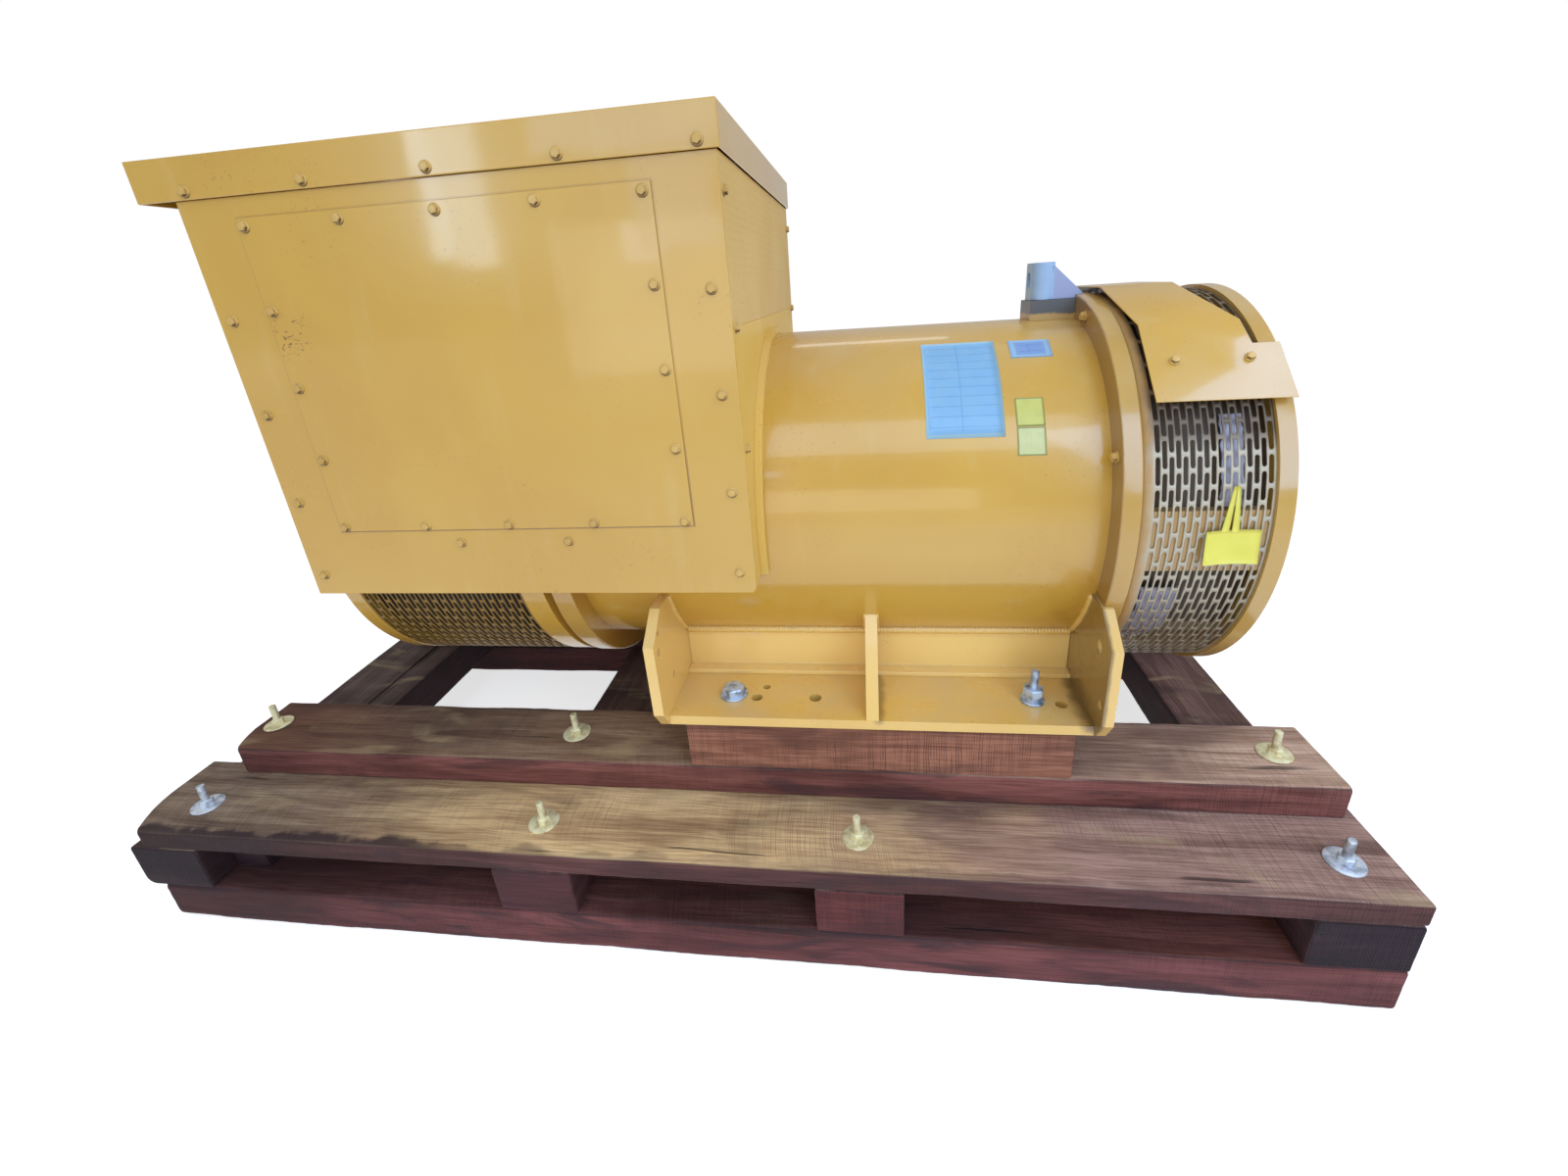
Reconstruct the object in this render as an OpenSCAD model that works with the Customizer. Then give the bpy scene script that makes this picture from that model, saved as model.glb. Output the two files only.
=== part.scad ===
// Brushless generator end with a saddle terminal box, on its timber shipping skid.
// Frame: X along the shaft (drive end at +X), Y across, Z up. The origin is the centre
// of the skid's footprint, on the floor. Millimetres.

/* [Skid] */
// Length of the skid along the shaft
skid_l = 2670; // [2640:10:3210]
// Width of the skid across the shaft
skid_w = 1240; // [1200:10:1500]
// Height of the two bottom bearers
bearer_h = 107; // [75:1:150]
// Width of the two bottom bearers
bearer_w = 200; // [150:5:300]
// Height of the cross beams
beam_h = 116; // [75:1:150]
// Width of the cross beams
beam_w = 176; // [120:2:220]
// Width of the half beam beside the rear cross beam
half_beam_w = 86; // [60:2:110]
// Thickness of the deck planks
deck_t = 50; // [30:1:70]
// Lap of the top planks over the outer deck planks
deck_lap = 36; // [10:1:80]
// Thickness of the top planks
top_t = 75; // [50:1:100]
// Width of the top planks
top_w = 187; // [150:1:220]
// Distance from the skid's rear end to the top planks
top_rear_in = 111; // [20:1:160]
// Distance from the top planks to the skid's drive end
top_drive_in = 23; // [0:1:120]
// Height of the blocks under the feet
block_h = 120; // [60:1:180]
// Length of the blocks under the feet
block_l = 811; // [700:1:860]

/* [Feet] */
// Height of the shaft axis over the soles of the feet
shaft_h = 400; // [333:1:480]
// Distance from the machine's centre line to the outer edge of a foot
foot_y = 441; // [420:1:500]
// Length of the feet along the shaft
foot_l = 912; // [860:1:1000]
// Thickness of the foot plates
foot_t = 22; // [12:1:30]
// Thickness of the end plates of a foot
gusset_t = 22; // [12:1:30]
// Thickness of the middle rib of a foot
rib_t = 26; // [14:1:34]
// Distance from the shaft axis down to the top of the end plates
gusset_drop = 138; // [100:1:180]
// Thickness of the upright web of a foot
web_t = 12; // [8:1:20]
// Distance between hold-down bolts along the shaft
bolt_dx = 641; // [560:1:700]
// Distance between hold-down bolts across the machine
bolt_dy = 722; // [660:1:740]
// Diameter of a hold-down hole
bolt_hole_d = 28; // [18:1:34]

/* [Frame] */
// Diameter of the round stator frame
frame_d = 737; // [720:1:890]
// Length of the round stator frame between its flanges
frame_l = 1063; // [980:1:1280]
// Height of the frame flanges over the frame
flange_lip = 47.5; // [35:0.5:70]
// Thickness of the drive-end frame flange
drive_flange_t = 35; // [20:1:50]
// Thickness of the rear frame flange
rear_flange_t = 45; // [20:1:60]

/* [Drive end] */
// Length of the screened drive-end housing, from frame flange to end ring
drive_l = 214; // [180:1:260]
// Width of the solid collar beside the frame flange
collar_t = 17; // [10:1:30]
// Height of the end ring over the frame flange
ring_step = 3; // [0:1:20]
// Thickness of the end ring
end_ring_t = 29; // [20:1:45]
// Diameter of the pilot that enters the engine's housing
pilot_d = 647.7; // [640:0.1:655]
// Length of the pilot
pilot_l = 6; // [4:1:10]
// Bolt circle of the end ring
ring_pcd = 679.5; // [675:0.5:700]
// Diameter of a hole in the end ring
ring_hole_d = 13.5; // [11:0.5:17]
// Number of holes in the end ring
ring_holes = 16; // [8:4:24]
// Diameter of the coupling discs
disc_d = 571.5; // [500:0.5:580]
// Bolt circle of the coupling discs
disc_pcd = 542.9; // [470:0.1:560]
// Diameter of a hole in the coupling discs
disc_hole_d = 17; // [13:0.5:19]
// Distance from the end ring's face to the coupling discs' face
disc_proud = 15.7; // [10:0.1:30]

/* [Lifting lug] */
// Height of the lug over the frame
lug_rise = 113.5; // [90:0.5:150]
// Height of the lug's pad over the frame
pad_rise = 38; // [20:1:50]
// Thickness of the lug's eye plate
eye_t = 47; // [30:1:60]
// Width of the lug's eye plate
eye_w = 86; // [80:1:140]
// Diameter of the lifting eye
eye_d = 32; // [25:1:48]
// Distance from the lug's top down to the middle of the eye
eye_drop = 34; // [30:1:60]

/* [Rear end] */
// Length of the screened rear housing, from its collar to its end shield
rear_l = 380; // [300:1:450]
// Width of the rear housing's collar
rear_collar_t = 51; // [30:1:70]
// Width of the groove between the rear collar and the frame flange
groove_t = 19; // [10:1:30]
// Thickness of the rear end shield
shield_t = 37; // [20:1:50]
// Depth of the perforated screens below the frame flanges
screen_step = 4; // [2:1:15]
// Thickness of the perforated screens
screen_t = 3; // [2:0.5:6]

/* [Terminal box] */
// Length of the terminal box along the shaft
box_l = 960; // [800:5:1150]
// Distance from the frame flanges out to a side panel's face
box_clear = 17; // [10:1:60]
// Distance from the shaft axis down to the side panels' lower edge
box_drop = 86; // [40:1:150]
// Distance from the shaft axis up to the underside of the lid
box_rise = 673; // [600:1:760]
// Thickness of the terminal box's sheet
sheet_t = 4; // [2:0.5:6]
// Height of the lid's skirt
skirt_h = 66; // [40:1:90]
// Overhang of the lid beyond the rear wall
lid_over = 69; // [20:1:100]
// Thickness of an access cover
cover_t = 3; // [2:0.5:5]
// Distance from the box's rear edge to the access cover
cover_rear_in = 106; // [60:1:150]
// Distance from the access cover to the box's drive-side edge
cover_drive_in = 110; // [60:1:150]
// Distance from the lid's skirt down to the access cover
cover_top_in = 34; // [20:1:60]
// Distance from the access cover down to the box's lower edge
cover_foot_in = 144; // [80:1:180]

/* [Hidden] */
$fn = 96;

FAR = 4000;          // longer than anything on the part
EPS = 0.5;           // overshoot of a cut past a face
paint = [0.80, 0.66, 0.33];
timber = [0.50, 0.34, 0.28];
steel = [0.62, 0.63, 0.65];
dark = [0.20, 0.20, 0.21];

// Heights of the skid's layers
beam_z = bearer_h;
deck_z = beam_z + beam_h;
top_z = deck_z + deck_t;
block_z = top_z + top_t;
foot_z = block_z + block_h;
shaft_z = foot_z + shaft_h;

// Stations along the shaft
foot_x0 = -77;                               // rear end of the feet
foot_x1 = foot_x0 + foot_l;
foot_xc = (foot_x0 + foot_x1) / 2;
frame_x1 = foot_x1 - gusset_t + 7;           // the drive flange's rear face backs the end plates
frame_x0 = frame_x1 - frame_l;
drive_x0 = frame_x1 + drive_flange_t;
ring_x0 = drive_x0 + drive_l;
ring_x1 = ring_x0 + end_ring_t;
disc_x1 = ring_x1 + disc_proud;
groove_x1 = frame_x0 - rear_flange_t;
groove_x0 = groove_x1 - groove_t;
rear_x1 = groove_x0 - rear_collar_t;
rear_x0 = rear_x1 - rear_l;
shield_x0 = rear_x0 - shield_t;
box_x0 = shield_x0 - 25;                     // the box reaches just past the rear end shield
box_x1 = box_x0 + box_l;
bolt_xc = foot_x0 + 469;                     // middle of the hold-down bolts

// Radii
frame_r = frame_d / 2;
flange_r = frame_r + flange_lip;
ring_r = flange_r + ring_step;
screen_r = flange_r - screen_step;
collar_r = flange_r - 3;                     // the rear collar and the rear end shield
groove_r = frame_r + 16;
pilot_r = pilot_d / 2;
ring_bore_r = pilot_r - 24;
shaft_r = 75;

// Skid
inner_gap = 3;
top_y = foot_y - 10;                         // outer edge of the top planks and blocks
top_l = skid_l - top_rear_in - top_drive_in;
top_xc = (top_rear_in - top_drive_in) / 2;
deck_w = skid_w / 2 - top_y + deck_lap;
inner_w = skid_w / 2 - deck_w - inner_gap - (top_y - top_w);
beam_x = [-skid_l / 2 + beam_w / 2, -343, 347, skid_l / 2 - beam_w / 2];
half_gap = 4;
half_set_back = 60;                          // the half beam stops short of the bearers' faces
wood_hole_d = bolt_hole_d + 2;

// Terminal box
box_y = flange_r + box_clear;
box_z0 = shaft_z - box_drop;
box_z1 = shaft_z + box_rise;
saddle_top_z = shaft_z + frame_r + 42;         // seam between the end wall and the saddle
lid_gap = 2;
corner_w = 6;                                // cut-off lower drive-side corner of a side panel
corner_h = 12.6;
seal_h = 11.5;                               // depth of the seal between frame and saddle plate
seal_out = 15;                               // the seal stands this far out of the saddle plate
seal_lip = 3.5;                              // and laps it by this much
floor_gap = 3;                               // from the box's floor strips to the machine
cover_x0 = box_x0 + cover_rear_in;
cover_x1 = box_x1 - cover_drive_in;
cover_z0 = box_z0 + cover_foot_in;
cover_z1 = box_z1 - cover_top_in;

// Hood: flat panels bent round the drive-end screen
hood_t = 3;
hood_step = 22.5;
hood_r = ring_r + 18;                        // outer radius of the bend lines
hood_x0 = drive_x0 + collar_t + 1;
hood_x1 = ring_x1 - 2;
hood_notch_x = ring_x0 - 17;                 // foot of the notch that clears the end ring
hood_bend_x = hood_notch_x - 8;              // drive edge of the upper panels at the first bend
hood_top_x = hood_notch_x - 63;              // and where they meet the top panel
hood_lap_x = hood_x0 - 21;                   // rear edge of the top panel, over the frame flange
hood_boss_x = [hood_x0 + 45, hood_x0 + 167]; // spacers that hold the hood off the screen

module along_x(x0) translate([x0, 0, shaft_z]) rotate([0, 90, 0]) children();
module mirrored(rear) mirror([0, rear ? 1 : 0, 0]) children();

// A rod about the shaft axis from x0 to x1
module rod(r, x0, x1) along_x(x0) cylinder(r = r, h = x1 - x0);

// A tube about the shaft axis
module tube(r, wall, x0, x1) difference() {
    rod(r, x0, x1);
    rod(r - wall, x0 - EPS, x1 + EPS);
}

// Holes on a circle about the shaft axis
module ring_of_holes(pcd, n, d, x0, x1) for (i = [0:n - 1])
    along_x(x0 - EPS) rotate([0, 0, (i + 0.5) * 360 / n])
        translate([pcd / 2, 0, 0]) cylinder(d = d, h = x1 - x0 + 2 * EPS, $fn = 32);

// Skid timbers
module bearer(rear) mirrored(rear) color(timber)
    translate([-skid_l / 2, -skid_w / 2, 0]) cube([skid_l, bearer_w, bearer_h]);

module cross_beam(x) color(timber)
    translate([x - beam_w / 2, -skid_w / 2, beam_z]) cube([beam_w, skid_w, beam_h]);

module cross_beam_half() color(timber)
    translate([beam_x[0] + beam_w / 2 + half_gap, -skid_w / 2 + half_set_back, beam_z])
        cube([half_beam_w, skid_w - 2 * half_set_back, beam_h]);

module deck_plank(rear) mirrored(rear) color(timber)
    translate([-skid_l / 2, -skid_w / 2, deck_z]) cube([skid_l, deck_w, deck_t]);

module inner_plank(rear) mirrored(rear) color(timber)
    translate([top_xc - top_l / 2, -skid_w / 2 + deck_w + inner_gap, deck_z])
        cube([top_l, inner_w, deck_t]);

// Both hold-down holes of one side, from z0 up to z1
module hold_down(d, z0, z1) for (s = [-1, 1])
    translate([bolt_xc + s * bolt_dx / 2, -bolt_dy / 2, z0 - EPS])
        cylinder(d = d, h = z1 - z0 + 2 * EPS, $fn = 48);

module top_plank(rear) mirrored(rear) color(timber) difference() {
    translate([top_xc - top_l / 2, -top_y, top_z]) cube([top_l, top_w, top_t]);
    hold_down(wood_hole_d, top_z, block_z);
}

module foot_block(rear) mirrored(rear) color(timber) difference() {
    translate([foot_xc - block_l / 2, -top_y, block_z]) cube([block_l, top_w, block_h]);
    hold_down(wood_hole_d, block_z, foot_z);
}

// Feet
web_y = 250;                                 // outer face of the upright web
foot_in_y = web_y - web_t;                   // inner edge of a foot plate
lip_w = 32;                                  // the web stands on a lip this far out
lip_h = 10;
gusset_out = 29;                             // the end plates reach this far past the foot plate
gusset_h = shaft_h - gusset_drop;            // height of the end plates
rib_top = [304, shaft_h - 200];              // where the middle rib meets the frame
rear_gusset_holes = [[431, 221, 14], [442, 182, 18], [376, 84, 16]];
drive_gusset_holes = [[408, 184, 30], [444, 76, 22]];

// x, y and diameter of the spare holes in a foot plate
plate_holes = [[142, 332, 17], [125, 371, 25], [255, 368, 27], [foot_x1 - gusset_t - 45, 374, 24]];

module foot_plate(rear) mirrored(rear) color(paint) difference() {
    translate([foot_x0 + gusset_t, -foot_y, foot_z])
        cube([foot_l - 2 * gusset_t, foot_y - foot_in_y, foot_t]);
    hold_down(bolt_hole_d, foot_z, foot_z + foot_t);
    for (p = plate_holes) translate([p[0], -p[1], foot_z - EPS])
        cylinder(d = p[2], h = foot_t + 2 * EPS, $fn = 32);
}

// Outline of an end plate in the Y-Z plane, heights from the sole
module gusset_outline() polygon([[-foot_y, 0], [-foot_y - gusset_out, 44],
    [-foot_y - gusset_out, gusset_h - 54], [-foot_y + 39, gusset_h], [-foot_in_y, gusset_h],
    [-foot_in_y, 0]]);

module upright(x, t) translate([x, 0, foot_z]) rotate([90, 0, 90]) linear_extrude(t) children();

// Round holes through an end plate that starts at x
module gusset_holes(x, places) for (p = places)
    upright(x - EPS, gusset_t + 2 * EPS) translate([-p[0], p[1]])
        circle(d = p[2], $fn = 32);

module foot_gussets(rear) mirrored(rear) color(paint) {
    difference() {
        upright(foot_x0, gusset_t) gusset_outline();
        rod(frame_r, foot_x0 - EPS, foot_x1 + EPS);
        gusset_holes(foot_x0, rear_gusset_holes);
    }
    difference() {
        upright(foot_x1 - gusset_t, gusset_t) gusset_outline();
        rod(frame_r, foot_x0, foot_x1 + EPS);
        rod(flange_r, frame_x1, foot_x1 + EPS);
        gusset_holes(foot_x1 - gusset_t, drive_gusset_holes);
    }
    difference() {
        upright(foot_xc - rib_t / 2, rib_t)
            polygon([[-foot_y, foot_t], [-rib_top[0], rib_top[1]], [-web_y, rib_top[1]],
                [-web_y, foot_t + lip_h], [-web_y - lip_w, foot_t + lip_h],
                [-web_y - lip_w, foot_t]]);
        rod(frame_r, foot_x0, foot_x1);
    }
}

module foot_web(rear) mirrored(rear) color(paint) difference() {
    translate([foot_x0 + gusset_t, 0, foot_z + foot_t]) {
        translate([0, -web_y, 0]) cube([foot_l - 2 * gusset_t, web_t, shaft_h]);
        translate([0, -web_y - lip_w, 0]) cube([foot_l - 2 * gusset_t, lip_w + EPS, lip_h]);
    }
    rod(frame_r, foot_x0 - EPS, foot_x1 + EPS);
    translate([0, 0, shaft_z + FAR / 2 - 200]) cube(FAR, center = true);
}

// Stator frame
module stator_frame() color(paint) rod(frame_r, frame_x0, frame_x1);

module frame_flange_drive() color(paint) rod(flange_r, frame_x1, drive_x0);

module frame_flange_rear() color(paint) rod(flange_r, groove_x1, frame_x0);

// Four arms that join a collar to an end piece, inside a screen
arm_w = 115;
arm_t = 22;
module arms(x0, x1) intersection() {
    tube(screen_r - screen_t, arm_t, x0, x1);
    for (a = [0, 90])
        along_x(x0) rotate([0, 0, a]) translate([-FAR / 2, -arm_w / 2, 0]) cube([FAR, arm_w, x1 - x0]);
}

module drive_bracket() color(paint) {
    rod(screen_r - screen_t, drive_x0, drive_x0 + collar_t);
    arms(drive_x0 + collar_t - 1, ring_x0);
}

module drive_end_ring() color(paint) difference() {
    union() {
        rod(ring_r, ring_x0, ring_x1);
        rod(pilot_r, ring_x1 - EPS, ring_x1 + pilot_l);
    }
    rod(ring_bore_r, ring_x0 - EPS, ring_x1 + pilot_l + EPS);
    ring_of_holes(ring_pcd, ring_holes, ring_hole_d, ring_x0, ring_x1);
}

module drive_screen() color(dark) tube(screen_r, screen_t, drive_x0, ring_x0);

// Point on the hood's bend circle, a degrees from the top towards -Y
function hood_point(a, r) = [-r * sin(a), shaft_z + r * cos(a)];

// One flat panel of the hood between two bend angles
module hood_panel(a0, a1, x0, x1) translate([x0, 0, 0]) rotate([90, 0, 90])
    linear_extrude(x1 - x0) polygon([hood_point(a0, hood_r), hood_point(a1, hood_r),
        hood_point(a1, hood_r - hood_t), hood_point(a0, hood_r - hood_t)]);

// The hood in plan, x along the shaft
module hood_plan() {
    bend_0 = hood_r * sin(0.5 * hood_step);
    bend_1 = hood_r * sin(1.5 * hood_step);
    notch = hood_r * sin(40);
    half = [[hood_top_x, bend_0], [hood_bend_x, bend_1], [hood_notch_x, notch],
        [hood_x1, notch], [hood_x1, FAR], [hood_x0, FAR], [hood_x0, bend_1],
        [hood_lap_x, bend_0]];
    for (s = [0, 1]) mirror([0, s]) polygon(concat([[hood_top_x, -EPS]], half,
        [[hood_lap_x, -EPS]]));
}

module drip_hood() color(paint) {
    intersection() {
        for (i = [-2:2])
            hood_panel((i - 0.5) * hood_step, (i + 0.5) * hood_step, hood_lap_x - EPS, hood_x1 + EPS);
        translate([0, 0, shaft_z]) linear_extrude(hood_r + EPS) hood_plan();
    }
    for (x = hood_boss_x, s = [-1, 1]) translate([x, 0, shaft_z])
        rotate([s * 2 * hood_step, 0, 0]) translate([0, 0, screen_r + 0.2])
            cylinder(d = 26, h = hood_r * cos(hood_step / 2) - screen_r - 1, $fn = 32);
}

// Rear end
module rear_bracket() color(paint) {
    rod(groove_r, groove_x0, groove_x1);
    rod(collar_r, rear_x1, groove_x0 + EPS);
    arms(rear_x0, rear_x1 + 1);
}

bearing_r = 118;
module rear_end_shield() color(paint) {
    rod(collar_r, shield_x0, rear_x0);
    rod(bearing_r, rear_x0 - EPS, rear_x0 + 70);
    rod(bearing_r + 12, shield_x0 - 18, shield_x0 + EPS);
}

module rear_screen() color(dark) tube(screen_r, screen_t, rear_x0, rear_x1);

// Rotor pieces that show through the screens and the drive end
module rotor_shaft() color(steel) {
    rod(shaft_r, drive_x0 + collar_t, ring_x0 - 6);
    rod(shaft_r - 10, rear_x0 + 70, rear_x1);
}

fan_x0 = drive_x0 + 104;
fan_x1 = fan_x0 + 70;
fan_hub_r = shaft_r + 60;
fan_r = 300;
blades = 12;
module cooling_fan() color(dark) difference() {
    union() {
        rod(fan_hub_r, fan_x0, fan_x1);
        rod(fan_r, fan_x0, fan_x0 + 8);
        for (i = [0:blades - 1]) along_x(fan_x0 + 7) rotate([0, 0, i * 360 / blades])
            translate([fan_hub_r - 5, -4, 0]) cube([fan_r - fan_hub_r, 8, fan_x1 - fan_x0 - 7]);
    }
    rod(shaft_r, fan_x0 - EPS, fan_x1 + EPS);
}

hub_r = 140;
module coupling_discs() color(steel) difference() {
    union() {
        rod(disc_d / 2, disc_x1 - 8, disc_x1);
        rod(hub_r, ring_x0 - 6, disc_x1 - 8 + EPS);
    }
    ring_of_holes(disc_pcd, 6, disc_hole_d, disc_x1 - 8, disc_x1);
}

// Lifting lug: an upright eye plate with round edges on a pad, with a gusset at each side
eye_xc = frame_x1 - 65.5;
lug_z = shaft_z + frame_r + lug_rise;
eye_z = lug_z - eye_drop;
pad_z = shaft_z + frame_r + pad_rise;
pad_x0 = eye_xc - eye_t / 2 - 3.5;
pad_w = eye_w + 4;
lug_gusset_t = 16;
lug_gusset_y = 29;                           // middle of a gusset, clear of the eye
gusset_toe = 14;                             // the gussets reach this far over the flange's rim

module lifting_lug() color([0.45, 0.55, 0.68]) difference() {
    union() {
        translate([eye_xc - eye_t / 2, -(eye_w - eye_t) / 2, pad_z - EPS])
            cube([eye_t, eye_w - eye_t, lug_z - pad_z + EPS]);
        for (s = [-1, 1]) translate([eye_xc, s * (eye_w - eye_t) / 2, pad_z - EPS])
            cylinder(d = eye_t, h = lug_z - pad_z + EPS, $fn = 48);
        translate([pad_x0, -pad_w / 2, shaft_z])
            cube([frame_x1 - pad_x0, pad_w, pad_z - shaft_z]);
        for (s = [-1, 1]) translate([0, s * lug_gusset_y + lug_gusset_t / 2, 0])
            rotate([90, 0, 0]) linear_extrude(lug_gusset_t)
                polygon([[eye_xc, pad_z - EPS], [frame_x1 + gusset_toe, pad_z - EPS],
                    [frame_x1 + gusset_toe, shaft_z + flange_r + 2],
                    [eye_xc + eye_t / 2 - 4, lug_z - 8]]);
    }
    rod(frame_r, frame_x0, frame_x1 + EPS);
    rod(flange_r, frame_x1, drive_x0);
    translate([eye_xc - eye_t, 0, eye_z]) rotate([0, 90, 0])
        cylinder(d = eye_d, h = 2 * eye_t, $fn = 48);
}

// Terminal box
module side_panel(rear) mirrored(rear) color(paint)
    translate([0, -box_y + sheet_t, 0]) rotate([90, 0, 0]) linear_extrude(sheet_t)
        polygon([[box_x0, box_z0], [box_x1 - corner_w, box_z0], [box_x1, box_z0 + corner_h],
            [box_x1, box_z1], [box_x0, box_z1]]);

module access_cover(rear) mirrored(rear) color(paint)
    translate([cover_x0, -box_y - cover_t, cover_z0])
        cube([cover_x1 - cover_x0, cover_t, cover_z1 - cover_z0]);

inner_y = box_y - sheet_t;
module end_wall_drive() color(paint)
    translate([box_x1 - sheet_t, -inner_y, saddle_top_z])
        cube([sheet_t, 2 * inner_y, box_z1 - saddle_top_z]);

// The saddle plate below the end wall, cut out round the frame
module saddle_plate() color(paint) difference() {
    translate([box_x1 - sheet_t, -inner_y, box_z0 + corner_h])
        cube([sheet_t, 2 * inner_y, saddle_top_z - box_z0 - corner_h]);
    rod(frame_r + seal_h, box_x1 - FAR / 2, box_x1 + FAR / 2);
}

// The seal between the saddle plate and the frame, its feet level with the saddle plate's
module saddle_seal() color(paint) difference() {
    union() {
        rod(frame_r + seal_h, box_x1 - sheet_t, box_x1 + EPS);
        rod(frame_r + seal_h + seal_lip, box_x1, box_x1 + seal_out);
    }
    rod(frame_r, box_x1 - FAR / 2, box_x1 + FAR / 2);
    translate([0, FAR / 2, 0]) rotate([90, 0, 0]) linear_extrude(FAR)
        polygon([[box_x1 - 2 * corner_w, box_z0 - corner_h], [box_x1 - 2 * corner_w, 0],
            [box_x1 + 10 * corner_w, 0], [box_x1 + 10 * corner_w, box_z0 + corner_h],
            [box_x1, box_z0 + corner_h]]);
}

module end_wall_rear() color(paint)
    translate([box_x0, -inner_y, box_z0]) cube([sheet_t, 2 * inner_y, box_z1 - box_z0]);

// Floor strips between the side panels and the machine
module box_floor() color(paint) difference() {
    for (s = [0, 1]) mirror([0, s, 0])
        translate([box_x0 + sheet_t, -inner_y, box_z0])
            cube([box_l - corner_w - sheet_t, inner_y - 40, sheet_t]);
    rod(frame_r + floor_gap, frame_x0, FAR);
    rod(flange_r + floor_gap, shield_x0 - floor_gap, frame_x0 + floor_gap);
    rod(frame_r - 100, -FAR, 0);
}

lid_y = box_y + lid_gap + sheet_t;
lid_x0 = box_x0 - lid_over;
lid_x1 = box_x1 + lid_gap + sheet_t;
module box_lid() color(paint) difference() {
    translate([lid_x0, -lid_y, box_z1]) cube([lid_x1 - lid_x0, 2 * lid_y, skirt_h]);
    translate([lid_x0 + sheet_t, -lid_y + sheet_t, box_z1 - EPS])
        cube([lid_x1 - lid_x0 - 2 * sheet_t, 2 * lid_y - 2 * sheet_t, skirt_h - sheet_t + EPS]);
}

bearer(false);  // bearer_front
bearer(true);  // bearer_rear
cross_beam(beam_x[0]);  // cross_beam_1
cross_beam_half();
cross_beam(beam_x[1]);  // cross_beam_2
cross_beam(beam_x[2]);  // cross_beam_3
cross_beam(beam_x[3]);  // cross_beam_4
deck_plank(false);  // deck_plank_front
deck_plank(true);  // deck_plank_rear
inner_plank(false);  // inner_plank_front
inner_plank(true);  // inner_plank_rear
top_plank(false);  // top_plank_front
top_plank(true);  // top_plank_rear
foot_block(false);  // foot_block_front
foot_block(true);  // foot_block_rear
foot_plate(false);  // foot_plate_front
foot_plate(true);  // foot_plate_rear
foot_gussets(false);  // foot_gussets_front
foot_gussets(true);  // foot_gussets_rear
foot_web(false);  // foot_web_front
foot_web(true);  // foot_web_rear
stator_frame();
frame_flange_drive();
frame_flange_rear();
drive_bracket();
drive_end_ring();
drive_screen();
drip_hood();
rear_bracket();
rear_end_shield();
rear_screen();
rotor_shaft();
cooling_fan();
coupling_discs();
lifting_lug();
side_panel(false);  // side_panel_front
side_panel(true);  // side_panel_rear
end_wall_drive();
saddle_plate();
saddle_seal();
end_wall_rear();
box_floor();
box_lid();
access_cover(false);  // access_cover_front
access_cover(true);  // access_cover_rear
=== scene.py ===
"""Looks for a generator end on its timber shipping skid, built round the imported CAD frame.

Metres, with X along the shaft (drive end at +X), Y across it and Z up, as in the CAD.
"""

import logging
import math
from dataclasses import dataclass, field, replace
from enum import Enum

import bmesh
import bpy
import numpy as np
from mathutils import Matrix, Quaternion, Vector


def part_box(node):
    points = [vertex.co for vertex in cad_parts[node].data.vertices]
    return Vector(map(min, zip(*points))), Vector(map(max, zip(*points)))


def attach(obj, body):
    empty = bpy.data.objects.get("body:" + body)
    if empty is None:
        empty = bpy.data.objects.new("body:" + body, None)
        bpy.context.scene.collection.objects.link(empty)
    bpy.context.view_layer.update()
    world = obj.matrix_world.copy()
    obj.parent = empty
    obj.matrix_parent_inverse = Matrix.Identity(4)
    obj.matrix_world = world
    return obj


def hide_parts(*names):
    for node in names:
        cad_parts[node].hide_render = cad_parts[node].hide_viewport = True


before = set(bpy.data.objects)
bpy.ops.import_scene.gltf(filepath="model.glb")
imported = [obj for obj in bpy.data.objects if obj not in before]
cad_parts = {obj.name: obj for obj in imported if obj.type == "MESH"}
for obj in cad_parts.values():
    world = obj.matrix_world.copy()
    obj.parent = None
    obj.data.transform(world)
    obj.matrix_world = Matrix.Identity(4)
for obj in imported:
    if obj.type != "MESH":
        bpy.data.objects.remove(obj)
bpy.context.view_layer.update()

log = logging.getLogger("generator_end")

Array = np.ndarray
Socket = bpy.types.NodeSocket
Colour = tuple[int, int, int]
Pair = tuple[float, float]
Triple = tuple[float, float, float]
MM = 0.001
TURN = 2.0 * math.pi


class Slot(Enum):
    """Material slots named in the part's record."""

    PAINT = "paint"
    LUG = "lug_paint"
    TIMBER = "timber"
    STEEL = "steel"
    DARK = "dark_steel"


class Along(Enum):
    """Which way a timber runs."""

    SHAFT = 0
    ACROSS = 1


# ---------------------------------------------------------------- surfaces


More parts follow.
